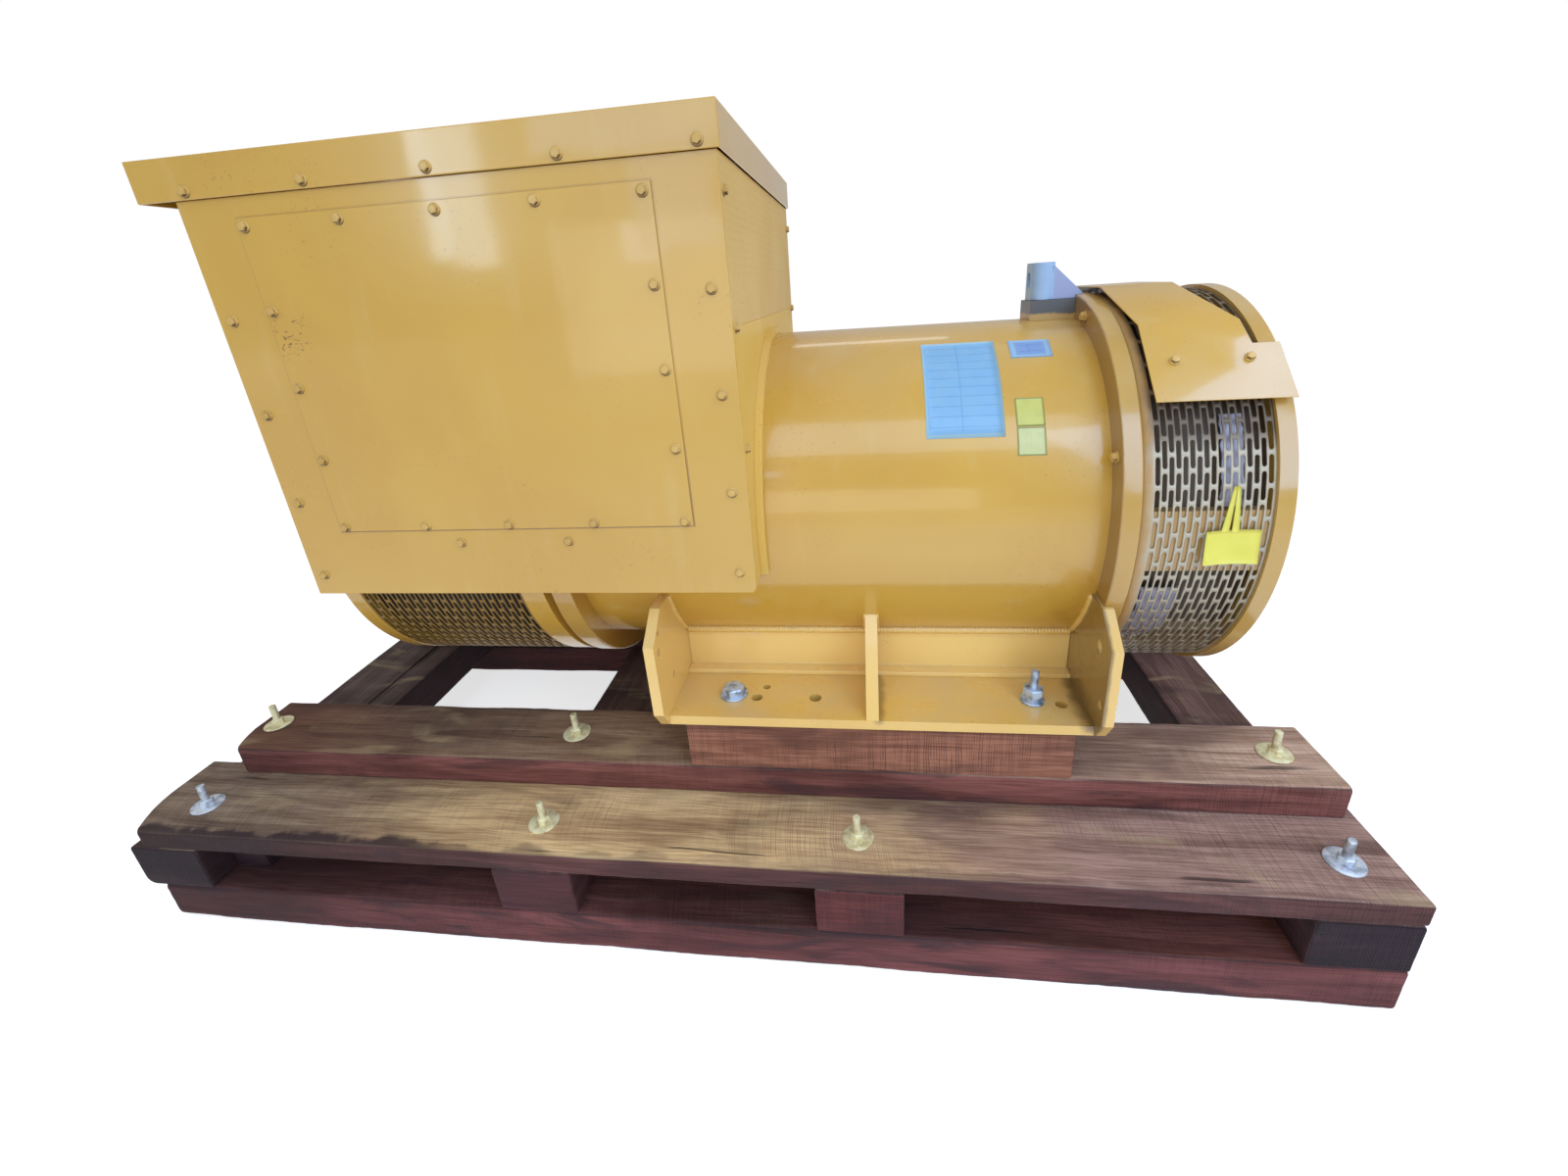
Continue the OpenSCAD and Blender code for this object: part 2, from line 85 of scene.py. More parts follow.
@dataclass
class Shell:
    """A closed surface, or several, held as whole arrays in metres."""

    points: Array
    corners: Array
    sides: Array
    smooth: Array
    uv: Array | None = None

    @classmethod
    def of_faces(cls, points: Array, faces: Array, smooth: bool = True) -> "Shell":
        """Makes a shell from faces that all have the same number of sides.

        Args:
            points: Vertices, n by 3.
            faces: Vertex numbers, one row a face.
            smooth: Whether the faces are shaded smooth.

        Returns:
            The shell.
        """
        faces = np.asarray(faces)
        count = np.full(len(faces), faces.shape[1])
        return cls(np.asarray(points, float), faces.ravel(), count, np.full(len(faces), smooth))

    @classmethod
    def grid(cls, points: Array, round_u: bool = False, round_v: bool = False,
             smooth: bool = True, uv: Array | None = None) -> "Shell":
        """Joins each grid point to its next neighbour in u and v with four-sided faces.

        Args:
            points: Grid of places, nu by nv by 3.
            round_u: Whether the last row joins the first.
            round_v: Whether the last column joins the first.
            smooth: Whether the faces are shaded smooth.
            uv: Pattern coordinates with one more row or column where the grid closes.

        Returns:
            The surface, open where the grid doesn't close.
        """
        nu, nv = points.shape[:2]
        steps = np.arange(nu - (not round_u)), np.arange(nv - (not round_v))
        u, v = np.meshgrid(*steps, indexing="ij")
        loops = [(u, v), (u + 1, v), (u + 1, v + 1), (u, v + 1)]
        faces = np.stack([(a % nu) * nv + b % nv for a, b in loops], -1).reshape(-1, 4)
        shell = cls.of_faces(points.reshape(-1, 3), faces, smooth)
        if uv is not None:
            shell.uv = np.stack([uv[a, b] for a, b in loops], 2).reshape(-1, 2)
        return shell

    def capped(self, count: int, cap_uv: Array | None = None) -> "Shell":
        """Closes the first and the last ring of the points with one flat face each.

        Args:
            count: Points in a ring.
            cap_uv: Pattern coordinates of both caps, 2 * count by 2, the last ring's turned round.

        Returns:
            The closed shell.
        """
        rim = np.arange(count)
        corners = np.concatenate([self.corners, rim, len(self.points) - count + rim[::-1]])
        sides = np.concatenate([self.sides, [count, count]])
        smooth = np.concatenate([self.smooth, [False, False]])
        uv = None if cap_uv is None else np.vstack([self.uv, cap_uv])
        return Shell(self.points, corners, sides, smooth, uv)

    def repeated(self, places: Array) -> "Shell":
        """Copies the shell to each 4 by 4 place, all as one shell.

        Args:
            places: Matrices, k by 4 by 4.

        Returns:
            The copies as one shell.
        """
        n, k = len(self.points), len(places)
        moved = np.einsum("kab,nb->kna", places[:, :3, :3], self.points) + places[:, None, :3, 3]
        corners = (self.corners[None] + n * np.arange(k)[:, None]).ravel()
        sides, smooth = np.tile(self.sides, k), np.tile(self.smooth, k)
        uv = None if self.uv is None else np.tile(self.uv, (k, 1))
        return Shell(moved.reshape(-1, 3), corners, sides, smooth, uv)

    def outward(self) -> "Shell":
        """Turns every face round if the enclosed volume, summed over face fans, is negative.

        Returns:
            The shell with its faces outwards.
        """
        start = np.cumsum(self.sides) - self.sides
        first = np.repeat(self.points[self.corners[start]], self.sides - 2, axis=0)
        hop = np.concatenate([np.arange(1, s - 1) + b for s, b in zip(self.sides, start)])
        a, b = self.points[self.corners[hop]], self.points[self.corners[hop + 1]]
        if np.einsum("ij,ij->", first, np.cross(a, b)) >= 0:
            return self
        order = np.concatenate([np.arange(b + s - 1, b - 1, -1) for s, b in zip(self.sides, start)])
        uv = None if self.uv is None else self.uv[order]
        return Shell(self.points, self.corners[order], self.sides, self.smooth, uv)

    def mesh(self, name: str) -> bpy.types.Mesh:
        """Puts the arrays into a Blender mesh.

        Args:
            name: The mesh's name.

        Returns:
            The mesh.
        """
        me = bpy.data.meshes.new(name)
        me.vertices.add(len(self.points))
        me.vertices.foreach_set("co", self.points.astype(np.float32).ravel())
        me.loops.add(len(self.corners))
        me.loops.foreach_set("vertex_index", self.corners.astype(np.int32))
        me.polygons.add(len(self.sides))
        me.polygons.foreach_set("loop_start", (np.cumsum(self.sides) - self.sides).astype(np.int32))
        me.polygons.foreach_set("use_smooth", self.smooth)
        if self.uv is not None:
            layer = me.uv_layers.new(name="grain")
            layer.data.foreach_set("uv", self.uv.astype(np.float32).ravel())
        me.update(calc_edges=True)
        me.validate()
        return me


def joined(shells: list[Shell]) -> Shell:
    """Puts several shells into one, with their vertex numbers shifted.

    Args:
        shells: The shells, all with pattern coordinates or the pattern is dropped.

    Returns:
        One shell.
    """
    base = np.cumsum([0] + [len(s.points) for s in shells[:-1]])
    has_uv = all(s.uv is not None for s in shells)
    return Shell(
        np.vstack([s.points for s in shells]),
        np.concatenate([s.corners + b for s, b in zip(shells, base)]),
        np.concatenate([s.sides for s in shells]),
        np.concatenate([s.smooth for s in shells]),
        np.vstack([s.uv for s in shells]) if has_uv else None,
    )


def turned(profile: Array, segments: int, smooth: bool = True) -> Shell:
    """Carries an open profile of (radius, height) round Z and closes both ends with flat caps.

    Args:
        profile: Radii and heights, k by 2.
        segments: Steps in the turn.
        smooth: Whether the turned faces are shaded smooth.

    Returns:
        A closed shell: x = radius cos a, y = radius sin a, z = height.
    """
    profile = np.asarray(profile, float)
    a = np.arange(segments) * TURN / segments
    ring = np.stack([np.cos(a), np.sin(a)], -1)
    flat = profile[:, None, :1] * ring[None]
    rise = np.broadcast_to(profile[:, None, 1:], (len(profile), segments, 1))
    shell = Shell.grid(np.concatenate([flat, rise], -1), round_v=True, smooth=smooth)
    return shell.capped(segments).outward()


def sandwich(outer: Array, inner: Array, uv: Array | None = None) -> Shell:
    """Closes two matching grids into a thin slab by a strip round their shared rim.

    Args:
        outer: Grid of the outer face, nu by nv by 3.
        inner: The same grid moved in by the thickness.
        uv: Pattern coordinates of the grid, nu by nv by 2.

    Returns:
        A closed shell.
    """
    nu, nv = outer.shape[:2]
    number = np.arange(nu * nv).reshape(nu, nv)
    rim = np.concatenate([number[0, :-1], number[:-1, -1], number[-1, :0:-1], number[:0:-1, 0]])
    after, n = np.roll(rim, -1), nu * nv
    strip = np.stack([rim, after, after + n, rim + n], -1)
    face, back = Shell.grid(outer, uv=uv), Shell.grid(inner, uv=uv)
    flip = back.corners.reshape(-1, 4)[:, ::-1]
    both = Shell(
        np.vstack([face.points, back.points]),
        np.concatenate([face.corners, flip.ravel() + n, strip[:, ::-1].ravel()]),
        np.concatenate([face.sides, back.sides, np.full(len(strip), 4)]),
        np.concatenate([face.smooth, back.smooth, np.zeros(len(strip), bool)]),
    )
    if uv is not None:
        flat = uv.reshape(-1, 2)
        edge = flat[np.stack([rim, after, after, rim], -1)[:, ::-1].ravel()]
        back_uv = back.uv.reshape(-1, 4, 2)[:, ::-1].reshape(-1, 2)
        both.uv = np.vstack([face.uv, back_uv, edge])
    return both.outward()


def swept(path: Array, across: Array, up: Array, section: Array) -> Shell:
    """Carries a closed section along a path: point = path + across * s + up * t.

    Args:
        path: Places along the path, n by 3.
        across: Unit vectors for the section's first coordinate, n by 3.
        up: Unit vectors for its second coordinate, n by 3.
        section: Section at each place, n by k by 2.

    Returns:
        A closed shell with flat ends.
    """
    points = path[:, None] + across[:, None] * section[..., :1] + up[:, None] * section[..., 1:]
    return Shell.grid(points, round_v=True).capped(section.shape[1]).outward()


def on_shaft(x: Array, angle: Array, radius: Array) -> Array:
    """Places round the shaft: y = -radius sin angle, z = shaft height + radius cos angle.

    Args:
        x: Places along the shaft.
        angle: Angles from the top towards -Y.
        radius: Distances from the shaft's axis.

    Returns:
        Places, one for each number of the inputs' common shape.
    """
    x, angle, radius = np.broadcast_arrays(x, angle, radius)
    return np.stack([x, -radius * np.sin(angle), SHAFT_Z + radius * np.cos(angle)], -1)


def standing(places: Array, normals: Array, spins: Array | float = 0.0) -> Array:
    """Matrices that stand a Z-up shape at each place along each normal, turned by its spin.

    Args:
        places: Feet of the shapes, k by 3.
        normals: Directions that their Z takes, k by 3 or one for all.
        spins: Turn about their own Z, in radians.

    Returns:
        Matrices, k by 4 by 4.
    """
    places = np.asarray(places, float)
    z = np.broadcast_to(np.asarray(normals, float), places.shape)
    z = z / np.linalg.norm(z, axis=1, keepdims=True)
    helper = np.where(np.abs(z[:, :1]) > 0.9, [[0.0, 1.0, 0.0]], [[1.0, 0.0, 0.0]])
    x = np.cross(np.cross(z, helper), z)
    x /= np.linalg.norm(x, axis=1, keepdims=True)
    y = np.cross(z, x)
    c, s = np.cos(spins) * np.ones(len(places)), np.sin(spins) * np.ones(len(places))
    out = np.tile(np.eye(4), (len(places), 1, 1))
    out[:, :3, 0] = x * c[:, None] + y * s[:, None]
    out[:, :3, 1] = y * c[:, None] - x * s[:, None]
    out[:, :3, 2], out[:, :3, 3] = z, places
    return out


def wander(t: Array, seed: int, waves: int = 5) -> Array:
    """A smooth wandering line between about -1 and 1: a sum of sines with fixed random phases.

    Args:
        t: Places along the line.
        seed: Picks the line.
        waves: Number of sines.

    Returns:
        The line's height at each place.
    """
    rng = np.random.default_rng(seed)
    size = rng.uniform(0.5, 1.0, waves)
    rate, phase = rng.uniform(0.6, 9.0, waves), rng.uniform(0, TURN, waves)
    t = np.asarray(t, float)[..., None]
    return (size * np.sin(rate * t * 3.0 + phase)).sum(-1) / size.sum()


# ---------------------------------------------------------------- finishes


def linear(colour: Colour) -> tuple[float, float, float, float]:
    """A display colour as linear light, by the standard display curve.

    Args:
        colour: Red, green and blue from 0 to 255.

    Returns:
        Red, green, blue and an alpha of 1.
    """
    c = np.array(colour, float) / 255
    lin = np.where(c <= 0.04045, c / 12.92, ((c + 0.055) / 1.055) ** 2.4)
    return (*map(float, lin), 1.0)


class Graph:
    """A material's nodes. A value that is a socket is linked, and one that is a number is set."""

    def __init__(self, name: str) -> None:
        """Starts an empty material with a Principled shader.

        Args:
            name: The material's name.
        """
        self.material = bpy.data.materials.new(name)
        self.material.use_nodes = True
        self.tree = self.material.node_tree
        self.shader = self.tree.nodes["Principled BSDF"]

    def add(self, kind: str, **settings: object) -> bpy.types.Node:
        """Adds a node and sets its own properties.

        Args:
            kind: The node's type.
            **settings: Its properties by name.

        Returns:
            The node.
        """
        node = self.tree.nodes.new(kind)
        for key, value in settings.items():
            setattr(node, key, value)
        return node

    def feed(self, socket: Socket, value: object) -> None:
        """Links a socket to another, or sets its value.

        Args:
            socket: The input.
            value: A socket, a number or a colour.
        """
        if isinstance(value, bpy.types.NodeSocket):
            self.tree.links.new(value, socket)
        else:
            socket.default_value = value

    def place(self) -> Socket:
        """The piece's own coordinates in metres."""
        return self.add("ShaderNodeTexCoord").outputs["Object"]

    def pattern(self) -> Socket:
        """The piece's own pattern coordinates."""
        return self.add("ShaderNodeUVMap", uv_map="grain").outputs["UV"]

    def scaled(self, vector: Socket, scale: Triple, move: Triple = (0.0, 0.0, 0.0)) -> Socket:
        """Stretches and moves coordinates: vector * scale + move.

        Args:
            vector: The coordinates.
            scale: Factor on each axis.
            move: What is added on each axis.

        Returns:
            The new coordinates.
        """
        node = self.add("ShaderNodeMapping")
        self.feed(node.inputs["Vector"], vector)
        node.inputs["Scale"].default_value = scale
        node.inputs["Location"].default_value = move
        return node.outputs["Vector"]

    def noise(self, vector: Socket, scale: float, detail: float = 2.0, warp: float = 0.0) -> Socket:
        """Cloudy noise from 0 to 1.

        Args:
            vector: Coordinates.
            scale: Clouds in a unit of length.
            detail: Finer layers.
            warp: How far the coordinates are distorted.

        Returns:
            The noise.
        """
        node = self.add("ShaderNodeTexNoise")
        self.feed(node.inputs["Vector"], vector)
        for key, number in (("Scale", scale), ("Detail", detail), ("Distortion", warp)):
            node.inputs[key].default_value = number
        return node.outputs["Fac"]

    def part(self, vector: Socket, axis: str) -> Socket:
        """One of a vector's X, Y and Z.

        Args:
            vector: The vector.
            axis: The letter of the part.

        Returns:
            The part.
        """
        node = self.add("ShaderNodeSeparateXYZ")
        self.feed(node.inputs[0], vector)
        return node.outputs[axis]

    def facing(self, axis: str) -> Socket:
        """One part of the surface's direction."""
        return self.part(self.add("ShaderNodeNewGeometry").outputs["Normal"], axis)

    def math(self, kind: str, a: object, b: object = 0.0) -> Socket:
        """Arithmetic on two numbers.

        Args:
            kind: The operation.
            a: First number.
            b: Second number.

        Returns:
            The answer.
        """
        node = self.add("ShaderNodeMath", operation=kind)
        self.feed(node.inputs[0], a)
        self.feed(node.inputs[1], b)
        return node.outputs[0]

    def plus(self, a: object, b: object) -> Socket:
        """The sum of two numbers."""
        return self.math("ADD", a, b)

    def minus(self, a: object, b: object) -> Socket:
        """The first number less the second."""
        return self.math("SUBTRACT", a, b)

    def times(self, a: object, b: object) -> Socket:
        """The product of two numbers."""
        return self.math("MULTIPLY", a, b)

    def larger(self, a: object, b: object) -> Socket:
        """The larger of two numbers."""
        return self.math("MAXIMUM", a, b)

    def gap(self, a: object, b: object) -> Socket:
        """How far two numbers lie apart."""
        return self.math("ABSOLUTE", self.minus(a, b))

    def distance(self, place: Socket, scale: Triple, spot: Triple) -> Socket:
        """Distance of stretched coordinates from a spot: |place * scale - spot|.

        Args:
            place: Coordinates in metres.
            scale: 1 on the axes that count, 0 on the others.
            spot: The spot, already stretched.

        Returns:
            The distance.
        """
        away = self.add("ShaderNodeVectorMath", operation="DISTANCE")
        self.feed(away.inputs[0], self.scaled(place, scale))
        away.inputs[1].default_value = spot
        return away.outputs["Value"]

    def ramp(self, value: Socket, low: float, high: float, out: Pair = (0.0, 1.0)) -> Socket:
        """Smooth step of a number from low to high.

        Args:
            value: The number.
            low: Where the step starts.
            high: Where it ends, which may be below the start.
            out: What it gives at its start and at its end.

        Returns:
            The step's height.
        """
        node = self.add("ShaderNodeMapRange", interpolation_type="SMOOTHSTEP")
        self.feed(node.inputs["Value"], value)
        for key, number in zip(("From Min", "From Max", "To Min", "To Max"), (low, high, *out)):
            node.inputs[key].default_value = number
        return node.outputs["Result"]

    def mix(self, share: object, a: object, b: object, blend: str = "MIX") -> Socket:
        """Mixes two colours.

        Args:
            share: How much of the second, 0 to 1.
            a: First colour, a socket or a display colour.
            b: Second colour.
            blend: How the second is laid over the first.

        Returns:
            The mixed colour.
        """
        node = self.add("ShaderNodeMix", data_type="RGBA", blend_type=blend)
        self.feed(node.inputs[0], share)
        for socket, value in ((node.inputs[6], a), (node.inputs[7], b)):
            self.feed(socket, linear(value) if isinstance(value, tuple) else value)
        return node.outputs[2]

    def bump(self, height: Socket, depth: float, under: Socket | None = None) -> Socket:
        """Raises the surface by a height pattern.

        Args:
            height: The pattern, 0 to 1.
            depth: Metres from 0 to 1.
            under: A relief that this one lies on.

        Returns:
            The surface's new direction.
        """
        node = self.add("ShaderNodeBump")
        node.inputs["Strength"].default_value = 1.0
        node.inputs["Distance"].default_value = depth
        self.feed(node.inputs["Height"], height)
        if under is not None:
            self.feed(node.inputs["Normal"], under)
        return node.outputs["Normal"]

    def finish(self, **inputs: object) -> bpy.types.Material:
        """Feeds the shader's sockets.

        Args:
            **inputs: Values by the socket's name, with underscores for spaces.

        Returns:
            The material.
        """
        for key, value in inputs.items():
            self.feed(self.shader.inputs[key.replace("_", " ")], value)
        return self.material


@dataclass(frozen=True)
class Finish:
    """A finish that is made once and shared by the pieces that wear it."""

    name: str
    slot: Slot

    def dress(self) -> bpy.types.Material:
        """The finish's material, made on first use."""
        return bpy.data.materials.get(self.name) or self.build()

    def build(self) -> bpy.types.Material:
        """Makes the material."""
        raise NotImplementedError


@dataclass(frozen=True)
class ShadeAndDirt:
    """Painted shade and dirt gathered along a line, or round a spot, of the machine, in metres.

    The scale is 1 on the axes that count towards the distance and 0 along the line.
    """

    scale: Triple
    spot: Triple
    reach: float
    strength: float = 0.7
    tone: Colour = (70, 48, 24)

    def lay(self, g: Graph, place: Socket, tone: Socket) -> Socket:
        """Mixes the painted shade and dirt over a tone, fading with distance and broken up by
        noise.

        Args:
            g: The material's nodes.
            place: Coordinates in metres.
            tone: The colour below.

        Returns:
            The colour with painted shade and dirt.
        """
        away = g.distance(place, self.scale, tuple(a * b for a, b in zip(self.scale, self.spot)))
        uneven = g.times(g.minus(g.noise(place, 30.0, 4.0), 0.5), self.reach)
        near = g.ramp(g.plus(away, uneven), self.reach, 0.15 * self.reach)
        return g.mix(g.times(near, self.strength), tone, self.tone)


class WearAndShade(Enum):
    """What lies over the ochre paint, as display colours: dust, wear and dirt, and painted shade.
    """

    STREAK = (220, 194, 140)
    SPECK = (120, 92, 52)
    DUST = (196, 176, 140)
    CHIP = (112, 78, 44)
    HOOD_SHADE = (74, 50, 28)
    LOW_SHADE = (92, 70, 42)
    JOINT_AND_SHADOW = (136, 98, 48)
    UNDERSIDE_SHADE = (84, 58, 28)


# The paint's relief: orange peel, slow waves of the sheet and dimples; then its clear coat.
PEEL_DEPTH = 0.025 * MM
SHEET_WAVE = 0.9 * MM
DIMPLE_DEPTH = 0.6 * MM
DIMPLES_PER_M = 75.0
COAT_ROUGH = 0.05


@dataclass(frozen=True)
class Paint(Finish):
    """Satin machine paint with slight orange peel, cloudy tone, and dust where it faces up.

    It darkens with painted shade and dirt in given bands and spots, with painted shade above the
    hood-shade height where a hood covers it, below the shade-below height and on faces that look
    down, and along the outline of a cover, a dark joint with painted shadow on its lower side:
    centre x and z, half width and half height.
    """

    colour: Colour = (200, 155, 60)
    shade: Colour = (193, 146, 52)
    rough: float = 0.24
    gloss: float = 0.6
    dust: float = 0.25
    dimples: bool = False
    chips: bool = False
    chip_spot: Triple = (-0.668, 0.0, 1.315)
    grime: tuple[ShadeAndDirt, ...] = ()
    sheltered: float | None = None
    soiled: float | None = None
    outline: tuple[float, float, float, float] | None = None
    # Share of painted shade on faces that look down.
    under: float = 0.0

    def build(self) -> bpy.types.Material:
        """Lays dust, wear, dirt and painted shade over two cloudy tones, and roughens the dusty
        faces.

        Returns:
            The material.
        """
        g = Graph(self.name)
        place = g.place()
        cloud = g.noise(place, 2.3, 3.0, 0.4)
        settled = g.ramp(g.noise(place, 7.0, 4.0), 0.3, 0.7)
        dusty = g.times(g.times(g.ramp(g.facing("Z"), 0.5, 0.95), settled), self.dust)
        tone = g.mix(dusty, self.coat(g, place, cloud), WearAndShade.DUST.value)
        sheen: float | Socket = self.gloss
        if self.chips:
            tone = g.mix(self.chipped(g, place), tone, WearAndShade.CHIP.value)
        # Painted shade on the screen above the given height, where the hood covers it; the coat
        # thins there too.
        if self.sheltered is not None:
            height = g.part(place, "Z")
            above = g.ramp(height, self.sheltered - 0.01, self.sheltered + 0.03, (0.0, 0.8))
            tone = g.mix(above, tone, WearAndShade.HOOD_SHADE.value)
            sheen = g.times(g.minus(1.0, above), self.gloss)
        tone = self.shaded_and_dirtied(g, place, tone)
        clean = g.ramp(cloud, 0.3, 0.7, (self.rough - 0.04, self.rough + 0.04))
        rough, normal = g.plus(g.times(dusty, 0.5), clean), self.relief(g, place)
        return g.finish(Base_Color=tone, Roughness=rough, Normal=normal,
                        Specular_IOR_Level=self.gloss, Coat_Weight=sheen,
                        Coat_Roughness=COAT_ROUGH, Coat_Normal=normal)

    def coat(self, g: Graph, place: Socket, cloud: Socket) -> Socket:
        """The paint's two tones with pale streaks and dark specks.

        Args:
            g: The material's nodes.
            place: Coordinates in metres.
            cloud: Slow noise that picks the tone.

        Returns:
            The colour.
        """
        tone = g.mix(g.ramp(cloud, 0.35, 0.72), self.colour, self.shade)
        streak = g.noise(g.scaled(place, (9.0, 9.0, 1.6)), 3.0, 4.0)
        tone = g.mix(g.ramp(streak, 0.55, 0.8, (0.0, 0.1)), tone, WearAndShade.STREAK.value)
        speck = g.ramp(g.noise(place, 170.0, 2.0), 0.62, 0.74)
        patch = g.ramp(g.noise(place, 5.0, 3.0), 0.5, 0.7, (0.0, 0.5))
        return g.mix(g.times(speck, patch), tone, WearAndShade.SPECK.value)

    def relief(self, g: Graph, place: Socket) -> Socket:
        """Fine orange peel on slow waves of the sheet, and dimples in a staggered lattice.

        Args:
            g: The material's nodes.
            place: Coordinates in metres.

        Returns:
            The surface's direction.
        """
        normal = g.bump(g.noise(place, 420.0, 2.0), PEEL_DEPTH)
        normal = g.bump(g.noise(place, 5.5, 2.0), SHEET_WAVE, normal)
        if not self.dimples:
            return normal
        cell = g.add("ShaderNodeTexVoronoi", feature="F1")
        g.feed(cell.inputs["Vector"], place)
        cell.inputs["Scale"].default_value = DIMPLES_PER_M
        cell.inputs["Randomness"].default_value = 0.15
        return g.bump(g.ramp(cell.outputs["Distance"], 0.1, 0.5), DIMPLE_DEPTH, normal)

    def shaded_and_dirtied(self, g: Graph, place: Socket, tone: Socket) -> Socket:
        """Painted shade low down and on faces that look down, a dark joint with painted shadow, and
        patches of painted shade and dirt, each where it is asked for.

        Args:
            g: The material's nodes.
            place: Coordinates in metres.
            tone: The colour below.

        Returns:
            The colour with painted shade and dirt.
        """
        # Painted shade, darker towards the bottom, below the given height.
        if self.soiled is not None:
            below = g.ramp(g.part(place, "Z"), self.soiled + 0.1, self.soiled - 0.1, (0.0, 0.65))
            tone = g.mix(below, tone, WearAndShade.LOW_SHADE.value)
        if self.outline is not None:
            tone = g.mix(self.seam(g, place, *self.outline), tone, WearAndShade.JOINT_AND_SHADOW.value)
        # Painted shade on faces that look down.
        if self.under:
            down = g.ramp(g.facing("Z"), 0.0, -0.7, (0.0, self.under))
            tone = g.mix(down, tone, WearAndShade.UNDERSIDE_SHADE.value)
        for patch in self.grime:
            tone = patch.lay(g, place, tone)
        return tone

    def seam(self, g: Graph, place: Socket, x: float, z: float, half_x: float,
             half_z: float) -> Socket:
        """A dark joint round an upright rectangular cover, with painted shadow that makes it
        strongest on its lower side.

        Args:
            g: The material's nodes.
            place: Coordinates in metres.
            x: The cover's centre along the shaft.
            z: Its centre's height.
            half_x: Half its width.
            half_z: Half its height.

        Returns:
            The strength of the dark joint and its painted shadow.
        """
        over_x = g.minus(g.gap(g.part(place, "X"), x), half_x)
        over_z = g.minus(g.gap(g.part(place, "Z"), z), half_z)
        edge = g.math("ABSOLUTE", g.larger(over_x, over_z))
        # Painted shadow below the cover: the joint darkens more on its lower side.
        low_side = g.ramp(g.part(place, "Z"), z, z - half_z, (0.25, 0.8))
        return g.times(g.ramp(edge, 4.5 * MM, 2.0 * MM), low_side)

    def chipped(self, g: Graph, place: Socket) -> Socket:
        """A scatter of small chips and short scratches round the chip spot of a side cover.

        Args:
            g: The material's nodes.
            place: Coordinates in metres.

        Returns:
            The chips' strength.
        """
        near = g.ramp(g.distance(place, (1.0, 0.0, 1.0), self.chip_spot), 0.075, 0.02)
        flakes = g.ramp(g.noise(g.scaled(place, (70.0, 70.0, 120.0)), 1.0, 3.0, 1.5), 0.58, 0.66)
        return g.times(g.times(near, flakes), 0.85)


@dataclass(frozen=True)
class LugPaint(Finish):
    """Blue-grey lug on a dark grey-green pad: the tone changes at the pad's top.

    The pad's dark tone is partly painted shadow under the lug. Beyond gusset_shade_x a purplish
    grey is painted shade and reflection on the gusset's sloping face.
    """

    pad_top: float = 1.2755
    toe: float = 1.247
    gusset_shade_x: float = 0.7725

    def build(self) -> bpy.types.Material:
        """Mixes the lug's, the pad's and the frame's tones by height, the lowest edge wavering.

        Returns:
            The material.
        """
        g = Graph(self.name)
        place = g.place()
        height = g.part(place, "Z")
        blue = g.mix(g.noise(place, 30.0, 3.0), (138, 164, 196), (156, 180, 204))
        # Painted shade and reflection: purplish grey on the gusset's sloping face.
        gusset_shade = g.ramp(g.part(place, "X"), self.gusset_shade_x, self.gusset_shade_x + 3.5 * MM)
        blue = g.mix(gusset_shade, blue, (146, 154, 184))
        # The pad's dark grey-green, partly painted shadow under the lug.
        pad = g.mix(g.noise(place, 24.0, 3.0), (74, 84, 88), (92, 82, 78))
        waver = g.plus(height, g.ramp(g.noise(place, 22.0, 3.0), 0.2, 0.8, (-0.004, 0.004)))
        pad = g.mix(g.ramp(waver, self.toe - 0.003, self.toe + 0.003), (176, 142, 84), pad)
        above = g.ramp(height, self.pad_top, self.pad_top + 0.002)
        normal = g.bump(g.noise(place, 300.0, 2.0), 0.2 * MM)
        return g.finish(Base_Color=g.mix(above, pad, blue), Roughness=0.4, Normal=normal)


# Tones multiplied into the timber, then tones laid over it.
DIM = (140, 130, 140)
CLOUDED = (176, 166, 164)
GRAINED = (188, 172, 168)
FINE_GRAINED = (196, 184, 180)
SAWN = (128, 104, 102)
BLEACHED = (190, 168, 124)
CRACKED = (34, 24, 24)
TIMBER_RELIEF = 1.8 * MM


